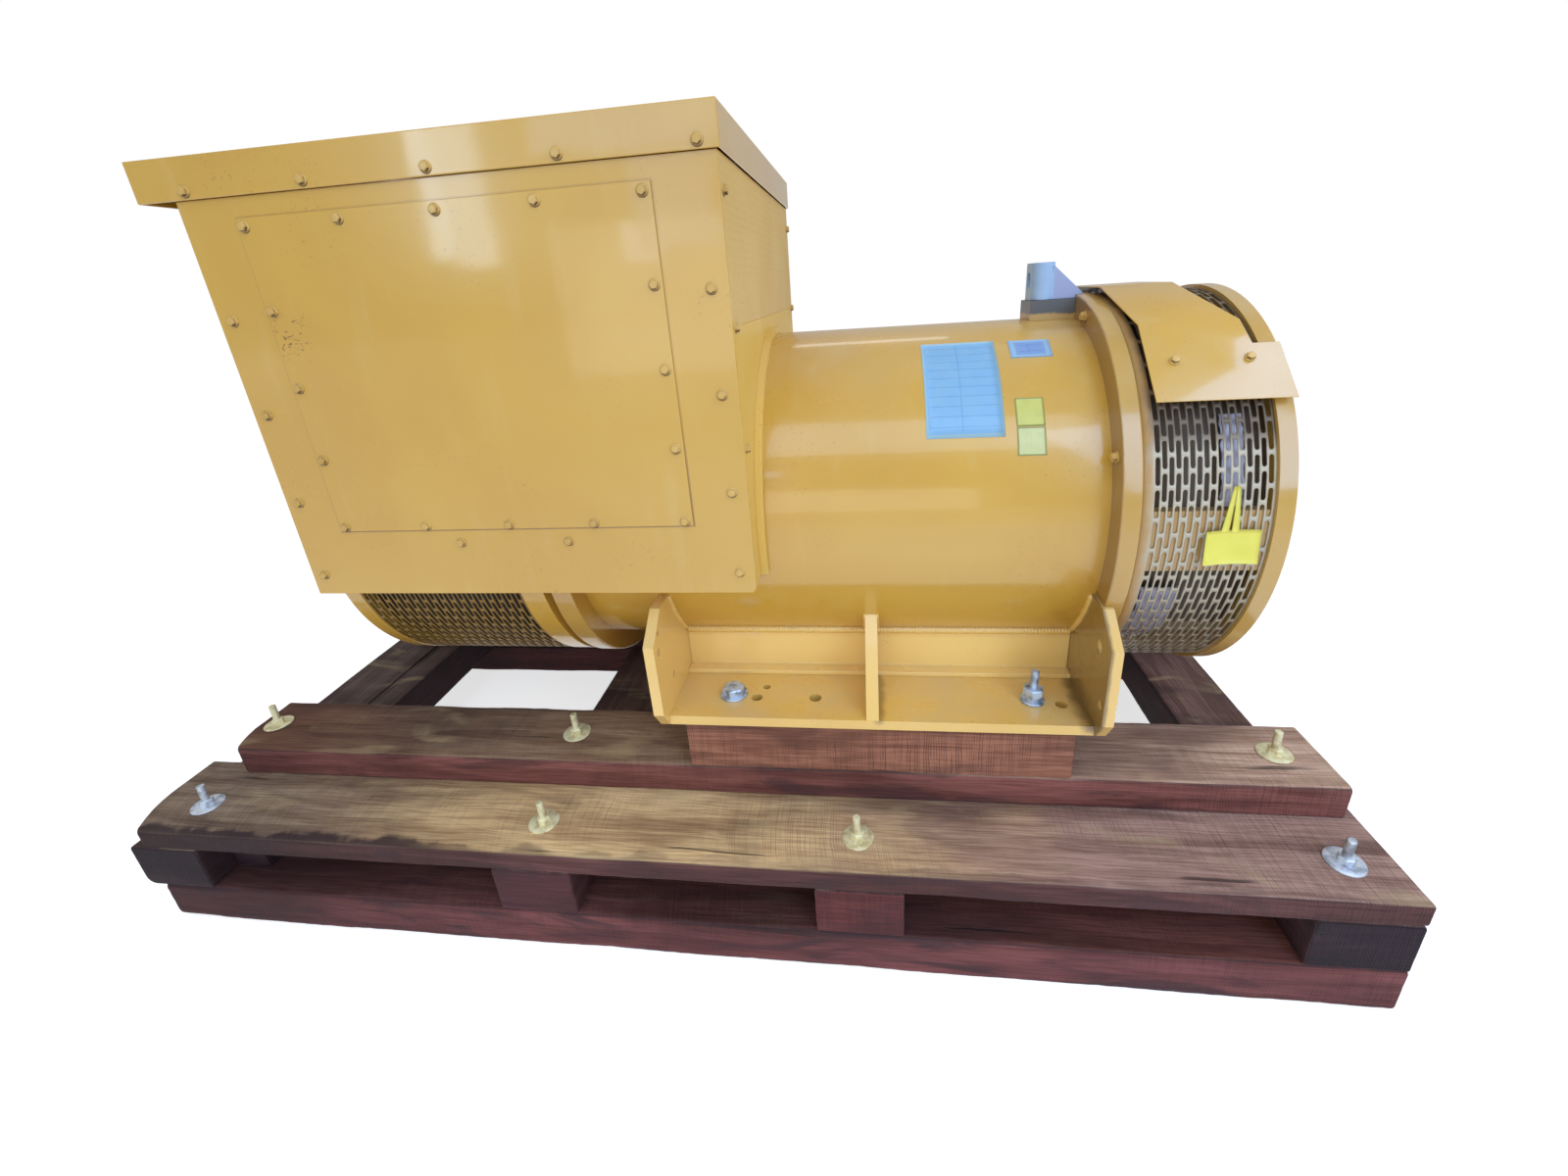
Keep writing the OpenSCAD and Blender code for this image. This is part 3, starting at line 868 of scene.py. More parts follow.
@dataclass(frozen=True)
class Timber(Finish):
    """Rough-sawn hardwood: grain along the piece, saw marks across it, stains and weathered tops.

    The tops go from one tone at the rear end to one in the middle and one at the drive end. A
    front, the Y of a timber's outer edge, darkens a ragged strip along that edge.
    """

    side: Colour = (112, 62, 58)
    top_rear: Colour = (156, 134, 112)
    top: Colour = (212, 178, 132)
    top_drive: Colour = (168, 134, 116)
    end: Colour = (84, 56, 54)
    stained: float = 0.5
    saws: float = 0.5
    rear_dim: float = 0.45
    bleached: float = 0.4
    front: float | None = None
    run: Along = Along.SHAFT
    stain: Colour = (50, 34, 38)

    def build(self) -> bpy.types.Material:
        """Tones by facing, darkened by grain lines, saw marks, stains and cracks.

        Returns:
            The material.
        """
        g = Graph(self.name)
        place, uv = g.place(), g.pattern()
        up = g.ramp(g.facing("Z"), 0.35, 0.9)
        here = g.plus(g.part(place, "X"), g.noise(place, 3.0, 3.0))
        grain = g.noise(g.scaled(uv, (1.5, 24.0, 1.0)), 1.0, 6.0, 0.9)
        fine = g.noise(g.scaled(uv, (9.0, 260.0, 1.0)), 1.0, 4.0, 0.3)
        broad = g.noise(g.scaled(place, (1.2, 4.0, 4.0)), 1.5, 4.0, 0.6)
        sawn, split = self.saw_marks(g, uv), self.cracks(g, place, uv)
        tone = self.faces(g, up, here)
        for share, shade in ((g.ramp(broad, 0.42, 0.66, (0.0, 0.6)), CLOUDED),
                             (g.ramp(grain, 0.6, 0.4, (0.0, 0.65)), GRAINED),
                             (g.ramp(fine, 0.6, 0.38, (0.0, 0.65)), FINE_GRAINED),
                             (g.times(sawn, self.saws), SAWN)):
            tone = g.mix(share, tone, shade, "MULTIPLY")
        tone = self.weathered(g, place, tone, up, here, broad)
        tone = g.mix(g.times(split, 0.7), tone, CRACKED)
        height = g.plus(g.times(fine, 0.3), g.times(grain, 0.3))
        height = g.minus(g.minus(height, g.times(sawn, 0.45)), g.times(split, 1.2))
        return g.finish(Base_Color=tone, Roughness=0.75, Normal=g.bump(height, TIMBER_RELIEF),
                        Specular_IOR_Level=0.3)

    def faces(self, g: Graph, up: Socket, here: Socket) -> Socket:
        """The side's, the top's and the end grain's tones, each where the surface faces that way.

        Args:
            g: The material's nodes.
            up: 1 where the surface faces up.
            here: Place along the shaft, made ragged.

        Returns:
            The colour.
        """
        tops = g.mix(g.ramp(here, -0.7, 0.2), self.top_rear, self.top)
        tops = g.mix(g.ramp(here, 0.7, 1.3), tops, self.top_drive)
        dim = g.ramp(here, 0.1, -0.9, (0.0, self.rear_dim))
        tone = g.mix(up, g.mix(dim, self.side, DIM, "MULTIPLY"), tops)
        along = g.facing("X" if self.run is Along.SHAFT else "Y")
        return g.mix(g.ramp(g.math("ABSOLUTE", along), 0.6, 0.9), tone, self.end)

    def weathered(self, g: Graph, place: Socket, tone: Socket, up: Socket, here: Socket,
                  broad: Socket) -> Socket:
        """Wet blots, a dark brow on the upper edges, a stained front strip and bleached patches.

        Args:
            g: The material's nodes.
            place: Coordinates in metres.
            tone: The colour below.
            up: 1 where the surface faces up.
            here: Place along the shaft, made ragged.
            broad: Slow noise that breaks up the brow.

        Returns:
            The weathered colour.
        """
        blot = g.noise(g.scaled(place, (1.8, 5.0, 8.0)), 1.9, 6.0, 0.9)
        wet = g.ramp(blot, 0.5, 0.64, (0.0, self.stained))
        tone = g.mix(g.times(wet, g.ramp(up, 0.0, 1.0, (1.0, 0.45))), tone, self.stain)
        brow = g.times(g.ramp(up, 0.03, 0.3), g.ramp(up, 0.97, 0.7))
        tone = g.mix(g.times(brow, g.ramp(broad, 0.3, 0.55, (0.25, 0.75))), tone, self.stain)
        if self.front is not None:
            torn = g.ramp(g.noise(place, 11.0, 6.0), 0.3, 0.7, (0.015, -0.013))
            inward = g.plus(g.part(place, "Y"), torn)
            strip = g.times(g.ramp(inward, self.front + 0.024, self.front + 0.008),
                            g.ramp(here, 0.5, -0.3, (0.25, 0.9)))
            tone = g.mix(g.times(strip, up), tone, self.stain)
        pale = g.noise(g.scaled(place, (3.0, 9.0, 9.0), (3.0, 1.0, 2.0)), 1.8, 5.0, 0.5)
        return g.mix(g.times(g.ramp(pale, 0.54, 0.76, (0.0, self.bleached)), up), tone, BLEACHED)

    def cracks(self, g: Graph, place: Socket, uv: Socket) -> Socket:
        """Thin cracks along the grain where a second, slow noise lets them open.

        Args:
            g: The material's nodes.
            place: Coordinates in metres.
            uv: Metres along and round the timber.

        Returns:
            The cracks' strength.
        """
        line = g.noise(g.scaled(uv, (1.1, 34.0, 1.0), (5.0, 3.0, 0.0)), 1.0, 2.0, 0.5)
        return g.times(g.ramp(line, 0.67, 0.7), g.ramp(g.noise(place, 4.0, 2.0), 0.5, 0.62))

    def saw_marks(self, g: Graph, uv: Socket) -> Socket:
        """Thin uneven lines across the grain that come and go along the timber.

        Args:
            g: The material's nodes.
            uv: Metres along and round the timber.

        Returns:
            The marks' strength.
        """
        wave = g.add("ShaderNodeTexWave", wave_type="BANDS", bands_direction="X")
        g.feed(wave.inputs["Vector"], g.scaled(uv, (1.0, 0.35, 1.0)))
        settings = {"Scale": 62.0, "Distortion": 7.0, "Detail": 4.0, "Detail Scale": 0.6}
        for key, value in settings.items():
            wave.inputs[key].default_value = value
        uneven = g.noise(g.scaled(uv, (150.0, 6.0, 1.0)), 1.0, 2.0, 0.2)
        line = g.times(g.ramp(wave.outputs["Fac"], 0.45, 0.95), g.ramp(uneven, 0.35, 0.62))
        patch = g.noise(g.scaled(uv, (1.7, 4.0, 1.0)), 1.0, 4.0)
        return g.times(line, g.ramp(patch, 0.38, 0.6, (0.12, 1.0)))


@dataclass(frozen=True)
class Plated(Finish):
    """Zinc-plated steel with cloudy dulling and a few dark specks."""

    colour: Colour = (222, 228, 236)
    dull: Colour = (160, 168, 178)
    rough: float = 0.38
    metal: float = 0.55

    def build(self) -> bpy.types.Material:
        """Mixes bright and dull plating by noise.

        Returns:
            The material.
        """
        g = Graph(self.name)
        place = g.place()
        tone = g.mix(g.ramp(g.noise(place, 60.0, 4.0), 0.4, 0.7), self.colour, self.dull)
        rough = g.ramp(g.noise(place, 90.0, 3.0), 0.3, 0.7, (self.rough - 0.08, self.rough + 0.12))
        normal = g.bump(g.noise(place, 500.0, 2.0), 0.1 * MM)
        return g.finish(Base_Color=tone, Roughness=rough, Metallic=self.metal, Normal=normal)


@dataclass(frozen=True)
class Plain(Finish):
    """A plain coat with soft cloudy variation, for small and hidden pieces."""

    colour: Colour = (40, 34, 30)
    shade: Colour = (30, 26, 24)
    rough: float = 0.6

    def build(self) -> bpy.types.Material:
        """Mixes two close tones by noise.

        Returns:
            The material.
        """
        g = Graph(self.name)
        place = g.place()
        tone = g.mix(g.noise(place, 35.0, 3.0), self.colour, self.shade)
        normal = g.bump(g.noise(place, 240.0, 2.0), 0.2 * MM)
        return g.finish(Base_Color=tone, Roughness=self.rough, Normal=normal)


@dataclass(frozen=True)
class Ruled(Finish):
    """A plate with a border, faint rules across it and one post down it, with no lettering."""

    colour: Colour = (122, 176, 226)
    line: Colour = (96, 148, 204)
    border: Colour = (156, 196, 216)
    rules: float = 11.0
    rim: float = 0.035
    post: float = 0.47

    def build(self) -> bpy.types.Material:
        """Rules where the pattern's second coordinate meets a whole number, border at its rim.

        Returns:
            The material.
        """
        g = Graph(self.name)
        uv = g.pattern()
        u, v = g.part(uv, "X"), g.part(uv, "Y")
        saw = g.gap(g.math("FRACT", g.times(v, self.rules)), 0.5)
        rule = g.ramp(saw, 0.42, 0.48, (0.0, 0.75))
        post = g.ramp(g.gap(u, self.post), 0.012, 0.003, (0.0, 0.75))
        rim = g.larger(g.gap(u, 0.5), g.gap(v, 0.5))
        inside = g.ramp(rim, 0.5 - self.rim * 1.6, 0.5 - self.rim * 1.3, (1.0, 0.0))
        tone = g.mix(g.times(g.larger(rule, post), inside), self.colour, self.line)
        tone = g.mix(g.ramp(rim, 0.5 - self.rim, 0.5 - self.rim * 0.8), tone, self.border)
        faded = g.ramp(g.noise(g.place(), 40.0, 3.0), 0.4, 0.8, (0.0, 0.25))
        return g.finish(Base_Color=g.mix(faded, tone, self.border), Roughness=0.3)


def ochre(where: str, colour: Colour, shade: Colour, **more: object) -> Paint:
    """Ochre paint as it shows on one kind of piece.

    Args:
        where: The end of the finish's name.
        colour: Its main tone.
        shade: Its second tone.
        **more: Other fields of the paint.

    Returns:
        The finish.
    """
    return Paint("ochre_paint_" + where, Slot.PAINT, colour=colour, shade=shade, **more)


def belt(x: float, reach: float, strength: float, tone: Colour) -> ShadeAndDirt:
    """A darker band round the machine at one place along the shaft."""
    return ShadeAndDirt((1.0, 0.0, 0.0), (x, 0.0, 0.0), reach, strength, tone)


OCHRE = Paint("ochre_paint", Slot.PAINT)
OCHRE_PANEL = Paint("ochre_paint_on_the_panels", Slot.PAINT)
OCHRE_COVER = Paint("ochre_paint_on_the_covers", Slot.PAINT, chips=True)
# A lighter copy of the ochre: painted light on the end walls.
OCHRE_WALL_LIT = ochre("on_the_end_wall_painted_light", (216, 180, 108), (208, 170, 98), rough=0.5, gloss=0.08,
                   dimples=True)
# A lighter copy of the ochre: painted light from the drive side on the saddle, floor and seal.
OCHRE_SADDLE_LIT = ochre("on_the_saddle_painted_light", (222, 184, 98), (212, 172, 84), rough=0.5, gloss=0.05)
# Rims with a band of painted shade on the drive flange's back face.
OCHRE_RIM_SHADED = ochre("on_the_rims_painted_shade", (188, 146, 64), (178, 134, 56),
                  grime=(belt(0.820, 0.005, 0.5, (104, 72, 36)),))
# A lighter, glossier copy of the ochre: painted light on the webs.
OCHRE_WEB_LIT = ochre("on_the_webs_painted_light", (240, 202, 120), (230, 190, 108), gloss=0.7)
# A lighter copy of the ochre, painted light on the end plates, with a band of painted shade and
# dirt on the drive end plate's inner face.
OCHRE_GUSSET_LIT_AND_SHADED = ochre("on_the_gussets_painted_light_and_shade", (232, 190, 108), (220, 178, 94), dust=0.4,
                     grime=(belt(0.813, 0.008, 0.75, (88, 62, 28)),))
# A lighter copy of the ochre, painted light on the feet and welds, with painted shade and dirt in
# the corners at the drive end plate and the rib.
OCHRE_FEET_LIT_AND_SHADED = ochre("on_the_feet_painted_light_and_shade", (226, 184, 96), (216, 172, 84), dust=0.4, grime=(
    ShadeAndDirt((1.0, 0.0, 1.0), (0.813, 0.0, 0.490), 0.034, 0.8),
    ShadeAndDirt((1.0, 0.0, 1.0), (0.392, 0.0, 0.490), 0.020, 0.5),
))
# Pale cream, partly painted reflection of the sky on the bars, with painted shade under the hood
# and low down, and a darker tan band at the collar by the flange.
OCHRE_SCREEN_SHEEN_AND_SHADE = ochre("on_the_screens_painted_sheen_and_shade", (180, 168, 144), (168, 152, 122), rough=0.4, gloss=0.4,
                     sheltered=1.03, soiled=0.74,
                     grime=(belt(0.855, 0.027, 0.9, (176, 134, 74)),))
# A darker copy of the ochre: painted shade on the rear screen under the box.
OCHRE_REAR_SHADED = ochre("on_the_rear_screen_painted_shade", (138, 106, 52), (120, 88, 38), rough=0.5, gloss=0.2)
# A darker copy of the ochre: painted shade on the drive bracket's arms inside the screen.
OCHRE_ARMS_SHADED = ochre("on_the_arms_painted_shade", (166, 128, 70), (150, 112, 56), rough=0.4)
# Ochre on bolts and screws, with painted shade on the faces that look down.
OCHRE_BOLTS_SHADED_BELOW = ochre("on_bolts_painted_shade_below", (206, 166, 90), (184, 144, 72), rough=0.35, gloss=0.3, under=0.9)
# A darker copy of the ochre: painted shade on the sill seen through the screen's lower slots.
OCHRE_SILL_SHADED = ochre("on_the_sill_painted_shade", (140, 114, 78), (122, 96, 60), rough=0.5)
# Near black for the fan and the rear lining: painted shade of the inside.
INSIDE_SHADE = Plain("near_black_painted_shade_inside", Slot.DARK)
# Dark brown drum behind the drive screen's slots: painted shade of the inside.
SHADE_BEHIND = Plain("painted_shade_behind_the_drive_slots", Slot.DARK, (104, 90, 76), (70, 56, 44))
LUG = LugPaint("lug_coat", Slot.LUG)
ZINC = Plated("bright_zinc", Slot.STEEL)
BLUE_ZINC = Plated("blue_zinc", Slot.STEEL, (196, 210, 226), (110, 124, 142))
YELLOW_ZINC = Plated("yellow_zinc", Slot.STEEL, (236, 228, 186), (200, 184, 134), 0.45, 0.3)
BARE_STEEL = Plated("turned_steel", Slot.STEEL, (150, 150, 148), (136, 134, 130), 0.42)


# ---------------------------------------------------------------- pieces


def add_piece(name: str, shell: Shell, finish: Finish,
              replaces: tuple[str, ...] = ()) -> bpy.types.Object:
    """Makes a piece of the object that rides on the part.

    Args:
        name: The piece's name.
        shell: Its surface, already in place.
        finish: Its finish.
        replaces: CAD nodes that it stands for.

    Returns:
        The new object.
    """
    return enter(bpy.data.objects.new(name, shell.outward().mesh(name)), finish, replaces)


def enter(piece: bpy.types.Object, finish: Finish, replaces: tuple[str, ...]) -> bpy.types.Object:
    """Links a piece into the scene, dresses it and fixes it to the part.

    Args:
        piece: The object.
        finish: Its finish.
        replaces: CAD nodes that it stands for.

    Returns:
        The same object.
    """
    bpy.context.scene.collection.objects.link(piece)
    piece.data.materials.append(finish.dress())
    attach(piece, "root")
    if replaces:
        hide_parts(*replaces)
    log.info("%s: %d faces, %s", piece.name, len(piece.data.polygons), finish.name)
    return piece


def soften(node: str, finish: Finish, edge: float = 1.5, steps: int = 2) -> bpy.types.Object:
    """Copies a CAD node's shape and rounds its edges, and lets the copy stand for the node.

    Args:
        node: The CAD node.
        finish: The copy's finish.
        edge: How far the rounding reaches from each edge, in millimetres.
        steps: Faces across the rounding.

    Returns:
        The new piece.
    """
    bm = bmesh.new()
    bm.from_mesh(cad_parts[node].data)
    bmesh.ops.remove_doubles(bm, verts=bm.verts, dist=1e-5)
    bmesh.ops.dissolve_limit(bm, angle_limit=math.radians(0.4), verts=bm.verts, edges=bm.edges)
    bm.verts.index_update()
    me = bpy.data.meshes.new(node + "_edged")
    me.from_pydata([v.co[:] for v in bm.verts], [], [[v.index for v in f.verts] for f in bm.faces])
    bm.free()
    me.polygons.foreach_set("use_smooth", np.ones(len(me.polygons), bool))
    piece = enter(bpy.data.objects.new(node + "_edged", me), finish, (node,))
    bevel = piece.modifiers.new("edges", "BEVEL")
    bevel.width, bevel.segments = edge * MM, steps
    bevel.limit_method, bevel.angle_limit = "ANGLE", math.radians(28)
    bevel.harden_normals, bevel.use_clamp_overlap = True, True
    return piece


def dress_node(node: str, finish: Finish) -> None:
    """Gives a CAD node that stays in view its finish.

    Args:
        node: The CAD node.
        finish: Its finish.
    """
    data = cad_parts[node].data
    data.materials.clear()
    data.materials.append(finish.dress())
    log.info("%s: CAD node, %s", node, finish.name)


def low(node: str) -> Array:
    """A CAD node's lowest corner."""
    return np.array(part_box(node)[0])


def high(node: str) -> Array:
    """A CAD node's highest corner."""
    return np.array(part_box(node)[1])


SHAFT_Z = float((low("stator_frame")[2] + high("stator_frame")[2]) / 2)
FRAME_R = float((high("stator_frame")[2] - low("stator_frame")[2]) / 2)


# A stud's thread, in millimetres.
HALF_PITCH, THREAD_DEPTH = 1.25, 0.9
# How far a fixing's foot is sunk into the sheet that it stands on.
SUNK = 0.3 * MM


@dataclass
class Fixing:
    """A washer with a nut and stud, or with a hexagon head, in millimetres."""

    washer_r: float = 33.0
    washer_t: float = 4.0
    across: float = 24.0
    nut_t: float = 13.0
    stud_r: float = 8.0
    stud_up: float = 40.0

    def washer(self) -> Shell:
        """A flat disc with rounded rim and a shallow dish: radius steps in as height rises.

        Returns:
            A closed shell.
        """
        r, t = self.washer_r, self.washer_t
        profile = [(r - 1, 0), (r, 0.3 * t), (r, 0.7 * t), (r - 1, t), (0.62 * r, 0.92 * t),
                   (0.3 * r, 0.92 * t)]
        return turned(np.array(profile) * MM, 28)

    def nut(self, domed: bool = False) -> Shell:
        """A six-sided turning with its upper corners cut back, flat shaded.

        Args:
            domed: Whether two more steps inwards dome its top.

        Returns:
            A closed shell.
        """
        r = self.across / math.sqrt(3)
        z0, z1 = self.washer_t * 0.9, self.washer_t + self.nut_t
        profile = [(r, z0), (r, z1 - 0.12 * r), (0.87 * r, z1)]
        if domed:
            profile += [(0.6 * r, z1 + 0.1 * r), (0.3 * r, z1 + 0.14 * r)]
        return turned(np.array(profile) * MM, 6, smooth=False)

    def stud(self) -> Shell:
        """A threaded rod: its radius is less by the thread's depth at every other half pitch.

        Returns:
            A closed shell.
        """
        z0, z1 = self.washer_t, self.washer_t + self.nut_t + self.stud_up
        z = np.linspace(z0, z1 - 1.2, int((z1 - z0) / HALF_PITCH) + 1)
        r = self.stud_r - THREAD_DEPTH * (np.arange(len(z)) % 2)
        profile = np.column_stack([np.append(r, self.stud_r - 2.0), np.append(z, z1)])
        return turned(profile * MM, 14)

    def clamp(self) -> Shell:
        """The washer, nut and stud together."""
        return joined([self.washer(), self.nut(), self.stud()])

    def head(self) -> Shell:
        """The washer with a domed hexagon head on it."""
        return joined([self.washer(), self.nut(domed=True)])


@dataclass
class Screw:
    """A small flanged screw with a rounded hexagon head, in millimetres."""

    flange_r: float = 10.5
    flange_t: float = 2.0
    across: float = 14.0
    head_t: float = 8.0

    def shell(self) -> Shell:
        """A sloped flange below a hexagon whose top is cut back in two steps.

        Returns:
            A closed shell.
        """
        r, f, wide, top = self.across / math.sqrt(3), self.flange_t, self.flange_r, self.head_t
        flange = [(wide, 0), (wide, 0.35 * f), (0.86 * wide, f), (0.5 * r, 1.2 * f)]
        head = [(r, 0.6 * f), (r, top - 1.4), (0.82 * r, top - 0.2), (0.45 * r, top)]
        hexagon = turned(np.array(head) * MM, 6, smooth=False)
        return joined([turned(np.array(flange) * MM, 16), hexagon])


# ---------------------------------------------------------------- skid


# A board's steps along its length, closer at its ends, and the dip of its sides.
BOARD_STEPS = 150
BOARD_ENDS = np.array([0.0, 1.2, 3.5, 8.0]) * MM
BOARD_END_GAP = 20.0 * MM
END_ROUND, END_INSET = 3.5 * MM, 4.0 * MM
BOARD_CORNERS = ((1, 1), (0, 1), (0, 0), (1, 0))
SIDE_INWARD = ((0.0, -1.0), (1.0, 0.0), (0.0, 1.0), (-1.0, 0.0))
SIDE_DIP = 1.2 * MM


@dataclass
class Board:
    """One sawn timber, shaped inside its CAD node's box, in millimetres.

    Blunt is added to the rounding of each corner, most of it near the rear end. A rear cut is how
    deep the rear end is cut back at the outer face, and how far from that face the cut reaches.
    """

    node: str
    finish: Timber
    seed: int
    round_mm: float = 3.5
    worn_mm: float = 3.0
    rear_cut: Pair = (0.0, 60.0)
    blunt: tuple[float, float, float, float] = (0, 0, 0, 0)

    def shell(self) -> Shell:
        """Carries the timber's section along it, its rear end cut back in a smooth curve.

        Returns:
            A closed shell with pattern coordinates: metres along and metres round.
        """
        lo, hi = low(self.node), high(self.node)
        run = self.finish.run.value
        length, wide, tall = (hi - lo)[[run, 1 - run, 2]]
        middle = np.linspace(BOARD_END_GAP, length - BOARD_END_GAP, BOARD_STEPS)
        s = np.concatenate([BOARD_ENDS, middle, length - BOARD_ENDS[::-1]])
        section = self.drawn_in(self.section(s, wide, tall), s, length, wide, tall)
        depth, reach = self.rear_cut[0] * MM, self.rear_cut[1] * MM
        outer = section[..., 0] if lo[1] < 0 else wide - section[..., 0]
        cut = depth * np.clip(1 - outer / reach, 0, 1) ** 1.8
        points = np.empty((*section.shape[:2], 3))
        points[..., run] = lo[run] + cut + s[:, None] * (1 - cut / length)
        points[..., 1 - run] = lo[1 - run] + section[..., 0]
        points[..., 2] = lo[2] + section[..., 1]
        tips = np.concatenate([section[0], section[-1][::-1]]) + 2.9 * self.seed
        shell = Shell.grid(points, round_v=True, uv=self.pattern(section, s))
        return shell.capped(section.shape[1], tips).outward()

    def corner(self, s: Array, k: int, wide: float, tall: float) -> Array:
        """A quarter circle at one corner, whose radius wanders along the timber.

        Args:
            s: Places along the timber.
            k: The corner's number.
            wide: The timber's width.
            tall: Its height.

        Returns:
            Points of the corner at each place, n by 5 by 2.
        """
        worn = self.worn_mm * np.clip(wander(s, self.seed * 7 + k) + 0.25, 0, 1.2)
        rough = 0.5 * np.abs(wander(s * 9, self.seed * 5 + k)) * self.worn_mm
        r = (self.round_mm + worn + rough + self.blunt[k] * (0.35 + 0.65 * np.exp(-s / 0.12))) * MM
        cy, cz = BOARD_CORNERS[k]
        a = np.linspace(0, math.pi / 2, 5) + k * math.pi / 2
        centre = np.stack([cy * wide + (1 - 2 * cy) * r, cz * tall + (1 - 2 * cz) * r], -1)
        return centre[:, None] + r[:, None, None] * np.stack([np.cos(a), np.sin(a)], -1)[None]

    def section(self, s: Array, wide: float, tall: float) -> Array:
        """The rounded rectangle at each place: corners joined by sides that dip in unevenly.

        Args:
            s: Places along the timber.
            wide: The timber's width.
            tall: Its height.

        Returns:
            Points round the timber at each place, n by k by 2.
        """
        rows = [self.corner(s, k, wide, tall) for k in range(4)]
        side = np.linspace(0, 1, 9)[1:-1]
        lines = []
        for k, inward in enumerate(SIDE_INWARD):
            a, b = rows[k][:, -1:], rows[(k + 1) % 4][:, :1]
            uneven = wander(s[:, None] * 1.3 + side[None] * 2.0, self.seed * 11 + k)
            dip = SIDE_DIP * np.clip(uneven - 0.1, 0, 1)
            flat = a + (b - a) * side[None, :, None]
            lines += [rows[k], flat + dip[..., None] * np.array(inward)]
        return np.concatenate(lines, axis=1)

    def drawn_in(self, section: Array, s: Array, length: float, wide: float, tall: float) -> Array:
        """Draws the section in over its last millimetres, on a quarter circle.

        Args:
            section: Points round the timber at each place.
            s: Places along the timber.
            length: The timber's length.
            wide: Its width.
            tall: Its height.

        Returns:
            The section with rounded ends.
        """
        edge = np.clip(np.minimum(s, length - s) / END_ROUND, 0, 1)
        inset = END_INSET * (1 - np.sqrt(np.clip(1 - (1 - edge) ** 2, 0, 1)))
        half = np.array([wide / 2, tall / 2])
        return half + (section - half) * (1 - inset[:, None, None] / half)

    def pattern(self, section: Array, s: Array) -> Array:
        """Pattern coordinates: metres along and metres round, shifted by the timber's seed.

        Args:
            section: Points round the timber at each place.
            s: Places along the timber.

        Returns:
            Coordinates, n by k + 1 by 2.
        """
        ring = section[len(s) // 2]
        step = np.linalg.norm(np.diff(ring, axis=0, append=ring[:1]), axis=-1)
        girth = np.concatenate([[0], np.cumsum(step)]) + 1.37 * self.seed
        return np.stack(np.broadcast_arrays(s[:, None] + 0.61 * self.seed, girth[None]), -1)


